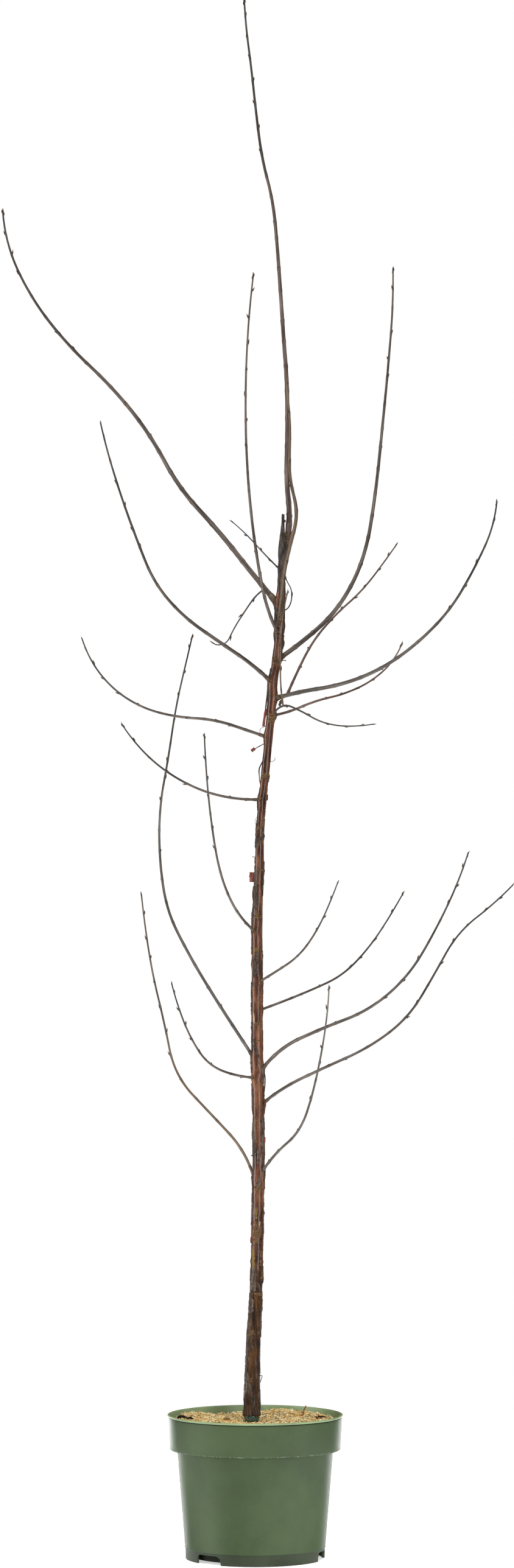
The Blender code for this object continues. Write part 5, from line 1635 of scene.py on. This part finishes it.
# ---------------------------------------------------------------- compost and mulch
FIBRES = 7300                 # in each of the two meshes
COARSE_FIBRES = 2400          # of these
LONG_FIBRES = 200             # more in the second mesh
FIBRE_ROWS, FIBRE_SIDES = 5, 3
MULCH_SEED = 70
STEM_CLEAR = 15.5 * MM        # no fibre starts nearer the stem's middle than this
STRAW_IVORY, STRAW_CREAM, STRAW_GOLD, STRAW_TAN, STRAW_BROWN, STRAW_DARK, STRAW_BLACK, STRAW_ORANGE = range(8)
STRAW_MIX = ((STRAW_IVORY,) * 3 + (STRAW_CREAM,) * 4 + (STRAW_GOLD,) * 4 + (STRAW_TAN,) * 2
             + (STRAW_BROWN,))
# heaps in the mulch: place to the right and to the back, how wide, how tall, in mm
HEAPS = (
    (-102.0, 52.0, 24.0, 8.5), (-120.0, -16.0, 16.0, 4.5), (41.0, 90.0, 30.0, 9.0), (93.0, 64.0, 15.0, 6.5),
    (122.0, 36.0, 12.0, 3.5), (58.0, 12.0, 22.0, 2.5), (-58.0, -40.0, 30.0, 1.5), (88.0, -66.0, 30.0, 2.0),
    (-84.0, -62.0, 30.0, 2.0), (8.0, -100.0, 50.0, -1.5), (-14.0, 70.0, 26.0, -1.0),
    (70.0, 48.0, 12.0, -3.0),
)
MULCH_BASE = 222.0 * MM
MULCH_REACH = 136.0 * MM
COMPOST_TOP = 219.0 * MM
COMPOST_RINGS, COMPOST_SEGMENTS = 16, 128


def mulch_height(x, y):
    """The height of the mulch, heaped here and there and level round the stem."""
    height = np.full(np.shape(x), MULCH_BASE)
    for middle_x, middle_y, wide, tall in HEAPS:
        away = ((x / MM - middle_x) ** 2 + (y / MM - middle_y) ** 2) / (2.0 * wide ** 2)
        height = height + tall * MM * np.exp(-away)
    flat = np.stack([x, y, np.zeros(np.shape(x))], axis=-1).reshape(-1, 3)
    rough = 1.3 * MM * lumps(flat, 16.0 * MM, 61) + 1.3 * MM * lumps(flat, 6.0 * MM, 63)
    return height + rough.reshape(np.shape(x))


def make_compost():
    """The filling of the pot: its underside is the pot's inside, its top is crumbly."""
    soil = surface("compost", [tone(40, 28, 17), tone(78, 56, 34), tone(120, 92, 58)], size=0.005,
                   rough=(0.85, 0.95), shine=0.2, grain=0.0012, depth=0.9)
    facets = math.cos(math.pi / POT_SEGMENTS)
    gap = SEAT_GAP
    inner = BAND_RADIUS - POT_WALL
    ledge = BAND_HEIGHT + POT_WALL + gap
    top = COMPOST_TOP
    profile = [
        (0.0, POT_WALL + gap),
        ((PAD_RADIUS - 2.2 * MM) * facets - gap, POT_WALL + gap),
        ((PAD_RADIUS - 0.7 * MM) * facets - gap, CHANNEL_HEIGHT + POT_WALL + gap),
        ((FOOT_RADIUS - POT_WALL) * facets - gap, CHANNEL_HEIGHT + POT_WALL + gap),
        ((SHOULDER_RADIUS - POT_WALL) * facets - gap, ledge),
        (inner * facets - gap, ledge),
        (inner * facets - gap + 0.6 * MM, top - 4.0 * MM),
    ]
    for k in range(COMPOST_RINGS, 0, -1):
        profile.append((inner * facets * 0.985 * k / COMPOST_RINGS, top))
    profile.append((0.0, top))

    def lift(points):
        """How far the mulch's heaps, and crumbs, raise the points of the top."""
        x, y, z = points[:, :, 0], points[:, :, 1], points[:, :, 2]
        flat = points.reshape(-1, 3)
        rough = 1.2 * MM * lumps(flat, 5.0 * MM, 62).reshape(z.shape)
        near = np.clip((np.hypot(x, y) - 16.0 * MM) / (8.0 * MM), 0.0, 1.0)
        rise = mulch_height(x, y) - 2.2 * MM - top + rough
        return np.where(z > top - 1.0 * MM, rise * near + (1.5 * MM) * (1.0 - near), 0.0)

    return lathe("compost_fill", profile, COMPOST_SEGMENTS, [soil], lift)


def strands(x, y, z, long, wide, turn, climb, curl, dip):
    """The corners of three-sided strands, curled about their middles and kept inside the pot's band."""
    share = np.linspace(-0.5, 0.5, FIBRE_ROWS)[None, :]
    bend = turn[:, None] + curl[:, None] * share
    rise = climb[:, None] + dip[:, None] * share
    step = long[:, None] / FIBRE_ROWS
    run = np.stack([np.cos(bend) * np.cos(rise), np.sin(bend) * np.cos(rise), np.sin(rise)], axis=-1)
    line = np.cumsum(run * step[:, :, None], axis=1)
    line = line - line.mean(axis=1, keepdims=True) + np.stack([x, y, z], axis=-1)[:, None, :]
    across = np.cross(run, (0.0, 0.0, 1.0))
    across /= np.linalg.norm(across, axis=-1, keepdims=True) + 1e-9
    upward = np.cross(across, run)
    thin = (wide[:, None] * (1.0 - 1.2 * np.abs(share) ** 2.2))[:, :, None]
    corners = [line + across * thin * 0.5, line + upward * thin * 0.45, line - across * thin * 0.5]
    points = np.stack(corners, axis=2)
    away = np.hypot(points[..., 0], points[..., 1])
    limit = BAND_RADIUS - POT_WALL - 0.6 * MM
    pull = np.minimum(1.0, limit / np.maximum(away, 1e-9))
    points[..., 0] *= pull
    points[..., 1] *= pull
    return points.reshape(-1, 3)


def fibres(bag, count, rng, length, width, kinds, lift, curls):
    """Short curled strands, lying on the mulch at every turn; kinds run from pale to dark."""
    radius = MULCH_REACH * np.sqrt(rng.random(count))
    around = rng.random(count) * 2.0 * math.pi
    x = radius * np.cos(around)
    y = radius * np.sin(around)
    clear = np.hypot(x - TRUNK[0][1], y - TRUNK[0][2]) > STEM_CLEAR
    x, y = x[clear], y[clear]
    count = len(x)
    z = mulch_height(x, y) + rng.uniform(lift[0], lift[1], count) * MM
    long = rng.uniform(length[0], length[1], count) * MM
    wide = rng.uniform(width[0], width[1], count) * MM
    turn = rng.random(count) * 2.0 * math.pi
    climb = rng.normal(0.0, 0.30, count)
    curl = rng.normal(0.0, curls, count)
    dip = rng.normal(0.0, 0.9, count)
    clump = lumps(np.stack([x, y, np.zeros(count)], axis=-1), 9.0 * MM, 64)
    share = np.clip(rng.random(count) ** (1.0 + clump * 0.55), 0.0, 0.999)
    picked = np.asarray(kinds)[(share * len(kinds)).astype(int)]
    each = FIBRE_ROWS * FIBRE_SIDES
    quads = grid_faces(FIBRE_ROWS, FIBRE_SIDES)
    ends = np.array([[2, 1, 0], [each - 3, each - 2, each - 1]])
    starts = (np.arange(count) * each)[:, None, None]
    bag.add(strands(x, y, z, long, wide, turn, climb, curl, dip),
            [(quads[None] + starts).reshape(-1, 4), (ends[None] + starts).reshape(-1, 3)],
            [np.repeat(picked, len(quads)), np.repeat(picked, 2)])


def mulch_finishes():
    """The finishes of the mulch, in the order of their numbers."""
    shades = (("straw_ivory", (255, 245, 206)), ("straw_cream", (252, 228, 168)),
              ("straw_gold", (248, 208, 124)), ("straw_tan", (222, 178, 102)),
              ("straw_brown", (150, 110, 62)), ("straw_dark", (74, 56, 38)),
              ("straw_black", (30, 26, 25)), ("straw_orange", (206, 112, 46)))
    found = []
    for name, shade in shades:
        darker = [int(c * 0.86) for c in shade]
        found.append(surface(name, [tone(*darker), tone(*shade)], size=0.005, rough=(0.75, 0.9),
                             shine=0.25, grain=0.0006, depth=0.4))
    return found


# chips and stalks that stand out: finish, width and thickness, then points right of the middle, to the back
# and above the ground, in mm
CHIPS = (
    (STRAW_BLACK, 7.0, 2.5, ((-127, 4, 228.5), (-120, 2, 231), (-113, 3, 229.5))),
    (STRAW_BLACK, 5.0, 2.0, ((-113, -4, 227.5), (-107, -6, 229.5), (-101, -6, 228))),
    (STRAW_ORANGE, 3.6, 1.4, ((-80, 60, 226), (-77, 61, 227.5), (-74, 62, 226))),
    (STRAW_BROWN, 2.6, 2.2, ((78, 60, 226), (80, 61, 235), (84, 62, 243.5))),
    (STRAW_DARK, 1.2, 1.0, ((26, 30, 225), (34, 26, 227), (43, 25, 226))),
    (STRAW_IVORY, 2.8, 1.2, ((30, 44, 228), (33, 42, 229.5), (36, 42, 228))),
    (STRAW_BROWN, 3.5, 1.2, ((-52, 20, 226), (-46, 18, 227), (-41, 15, 226))),
    (STRAW_DARK, 2.4, 1.2, ((104, 30, 229), (110, 26, 230), (117, 24, 229))),
    (STRAW_BLACK, 4.0, 1.6, ((-66, -60, 226), (-60, -62, 227.5), (-54, -61, 226))),
    (STRAW_BROWN, 4.0, 1.4, ((20, -84, 224), (28, -86, 225.5), (35, -84, 224))),
)


def make_mulch():
    """Wood fibres and straw over the compost, in two joined meshes, with a few chips and stalks.

    The second mesh lies on the first and is paler, and it has the long strands, chips and stalks.
    """
    finishes = mulch_finishes()
    made = []
    for k in range(2):
        bag = Bag()
        rng = np.random.default_rng(MULCH_SEED + k)
        mix = STRAW_MIX if k else STRAW_MIX + (STRAW_TAN, STRAW_BROWN, STRAW_DARK)
        fibres(bag, FIBRES - COARSE_FIBRES, rng, (5.0, 13.0), (0.6, 1.4), mix,
               (-2.2 + 1.6 * k, 0.8 + 2.0 * k), 2.6)
        fibres(bag, COARSE_FIBRES, rng, (4.0, 10.0), (1.4, 2.6), mix, (-1.6 + 1.6 * k, 1.0 + 2.2 * k), 1.4)
        if k:
            fibres(bag, LONG_FIBRES, rng, (14.0, 28.0), (0.6, 1.3),
                   (STRAW_CREAM, STRAW_GOLD, STRAW_TAN, STRAW_BROWN), (0.5, 3.0), 1.2)
            for chip in CHIPS:
                shred(bag, *chip)
        made.append(bag.build("mulch_fibres_%d" % (k + 1), finishes, smooth=False))
    return made


# ---------------------------------------------------------------- stage
def soft_light(name, azimuth, distance, height, wide, tall, power, aim_height, beam):
    """A soft box on a circle round the object; azimuth 0 is at the camera's side and grows to the right."""
    light = bpy.data.lights.new(name, "AREA")
    light.shape = "RECTANGLE"
    light.size = wide
    light.size_y = tall
    light.energy = power
    light.spread = math.radians(beam)
    lamp = bpy.data.objects.new(name, light)
    turn = math.radians(azimuth)
    lamp.location = (distance * math.sin(turn), -distance * math.cos(turn), height)
    look = Vector((0.0, 0.0, aim_height)) - lamp.location
    lamp.rotation_euler = look.to_track_quat("-Z", "Y").to_euler()
    lamp.visible_camera = False
    bpy.context.scene.collection.objects.link(lamp)


def sun(name, azimuth, elevation, spread, strength):
    """A wide soft sun, which lights the tree alike from foot to tip."""
    light = bpy.data.lights.new(name, "SUN")
    light.angle = math.radians(spread)
    light.energy = strength
    lamp = bpy.data.objects.new(name, light)
    turn, climb = math.radians(azimuth), math.radians(elevation)
    way = Vector((math.sin(turn) * math.cos(climb), -math.cos(turn) * math.cos(climb), math.sin(climb)))
    lamp.rotation_euler = (-way).to_track_quat("-Z", "Y").to_euler()
    bpy.context.scene.collection.objects.link(lamp)


WORLD_STRENGTH = 0.16
FLOOR_GLOW = 0.55
# name, azimuth, distance, height, width, height of the box itself, power, height it aims at, beam
SOFT_LIGHTS = (
    ("key_right", 24.0, 3.2, 1.35, 0.85, 3.0, 40.0, 1.35, 180.0),
    ("key_left", -76.0, 3.2, 1.35, 0.85, 3.0, 56.0, 1.35, 180.0),
    ("side_left", -80.0, 0.9, 0.10, 0.40, 0.20, 0.06, 0.10, 40.0),
    ("side_right", 66.0, 0.9, 0.10, 0.55, 0.20, 0.20, 0.10, 44.0),
    ("rim_left", -152.0, 0.95, 0.13, 0.28, 0.22, 0.20, 0.12, 32.0),
    ("rim_right", 152.0, 0.95, 0.13, 0.28, 0.22, 0.15, 0.12, 32.0),
)
# name, azimuth, elevation, spread, strength
SUNS = (
    ("overhead", 8.0, 68.0, 38.0, 1.75),
    ("from_behind", 180.0, 40.0, 60.0, 0.25),
)


def make_world():
    """Plain white light from all round."""
    world = bpy.data.worlds.new("studio")
    world.use_nodes = True
    background = world.node_tree.nodes["Background"]
    background.inputs["Color"].default_value = (1.0, 1.0, 1.0, 1.0)
    background.inputs["Strength"].default_value = WORLD_STRENGTH
    bpy.context.scene.world = world


def make_dome():
    """The white backdrop, which only the camera sees."""
    white = bpy.data.materials.new("dome_white")
    white.use_nodes = True
    tree = white.node_tree
    tree.nodes.remove(tree.nodes["Principled BSDF"])
    glow = tree.nodes.new("ShaderNodeEmission")
    tree.links.new(glow.outputs["Emission"], tree.nodes["Material Output"].inputs["Surface"])
    bpy.ops.mesh.primitive_uv_sphere_add(segments=48, ring_count=24, radius=DOME_RADIUS)
    dome = bpy.context.object
    dome.name = "dome"
    dome.data.materials.append(white)
    dome.visible_diffuse = False
    dome.visible_glossy = False
    dome.visible_shadow = False
    dome.visible_transmission = False
    return dome


def make_floor():
    """The pale floor, glowing a little so that it meets the backdrop."""
    pale = surface("floor_pale", [tone(246, 246, 245), tone(250, 250, 249)], size=0.4, rough=(0.8, 0.9),
                   shine=0.1)
    shader = pale.node_tree.nodes["Principled BSDF"]
    shader.inputs["Emission Color"].default_value = (1.0, 1.0, 1.0, 1.0)
    shader.inputs["Emission Strength"].default_value = FLOOR_GLOW
    bpy.ops.mesh.primitive_circle_add(vertices=96, radius=FLOOR_RADIUS, fill_type="NGON")
    floor = bpy.context.object
    floor.name = "floor"
    floor.data.materials.append(pale)
    regrain(floor)
    return floor


def make_camera():
    """The camera, level and straight in front, at the photograph's distance and height."""
    scene = bpy.context.scene
    lens = bpy.data.cameras.new("camera")
    lens.sensor_width = SENSOR
    lens.lens = SENSOR * CAMERA_DISTANCE / FRAME_HEIGHT
    lens.clip_end = 100.0
    camera = bpy.data.objects.new("camera", lens)
    camera.location = (CAMERA_ACROSS, -CAMERA_DISTANCE, CAMERA_HEIGHT)
    camera.rotation_euler = (math.radians(90.0), 0.0, 0.0)
    scene.collection.objects.link(camera)
    scene.camera = camera


def make_stage():
    """The backdrop, the floor, the lights and the camera."""
    bpy.context.scene.view_settings.view_transform = "Standard"
    make_world()
    dome = make_dome()
    floor = make_floor()
    for row in SOFT_LIGHTS:
        soft_light(*row)
    for row in SUNS:
        sun(*row)
    make_camera()


def stand_for(piece, nodes=()):
    """The piece rides on the one body and stands for its CAD nodes."""
    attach(piece, "root")
    if nodes:
        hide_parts(*nodes)


def main():
    """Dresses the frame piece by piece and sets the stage."""
    limbs = {}
    for name in LIMBS:
        limbs[name] = Limb(name, limbs)
    for limb in limbs.values():
        limb.start = collar_end(limb, limbs)
    bark = bark_finishes()
    shoots = shoot_finishes()
    names = sorted(frame["nodes"])
    stem = Stem(limbs)
    stand_for(make_trunk(stem, bark), ["trunk"])
    stand_for(make_peels(stem, limbs, bark))
    stand_for(make_foot_ring(stem))
    bough_mesh, shoot_mesh, bud_mesh = make_limbs(limbs, shoots)
    stand_for(bough_mesh, [n for n in names if n.endswith(("_bough", "_upper"))])
    stand_for(shoot_mesh, [n for n in names if n.endswith("_whip") or n.startswith("twig_")])
    stand_for(bud_mesh)
    stand_for(make_pot(), ["pot"])
    stand_for(make_compost(), ["root_ball"])
    for piece in make_mulch():
        stand_for(piece)
    make_stage()


main()
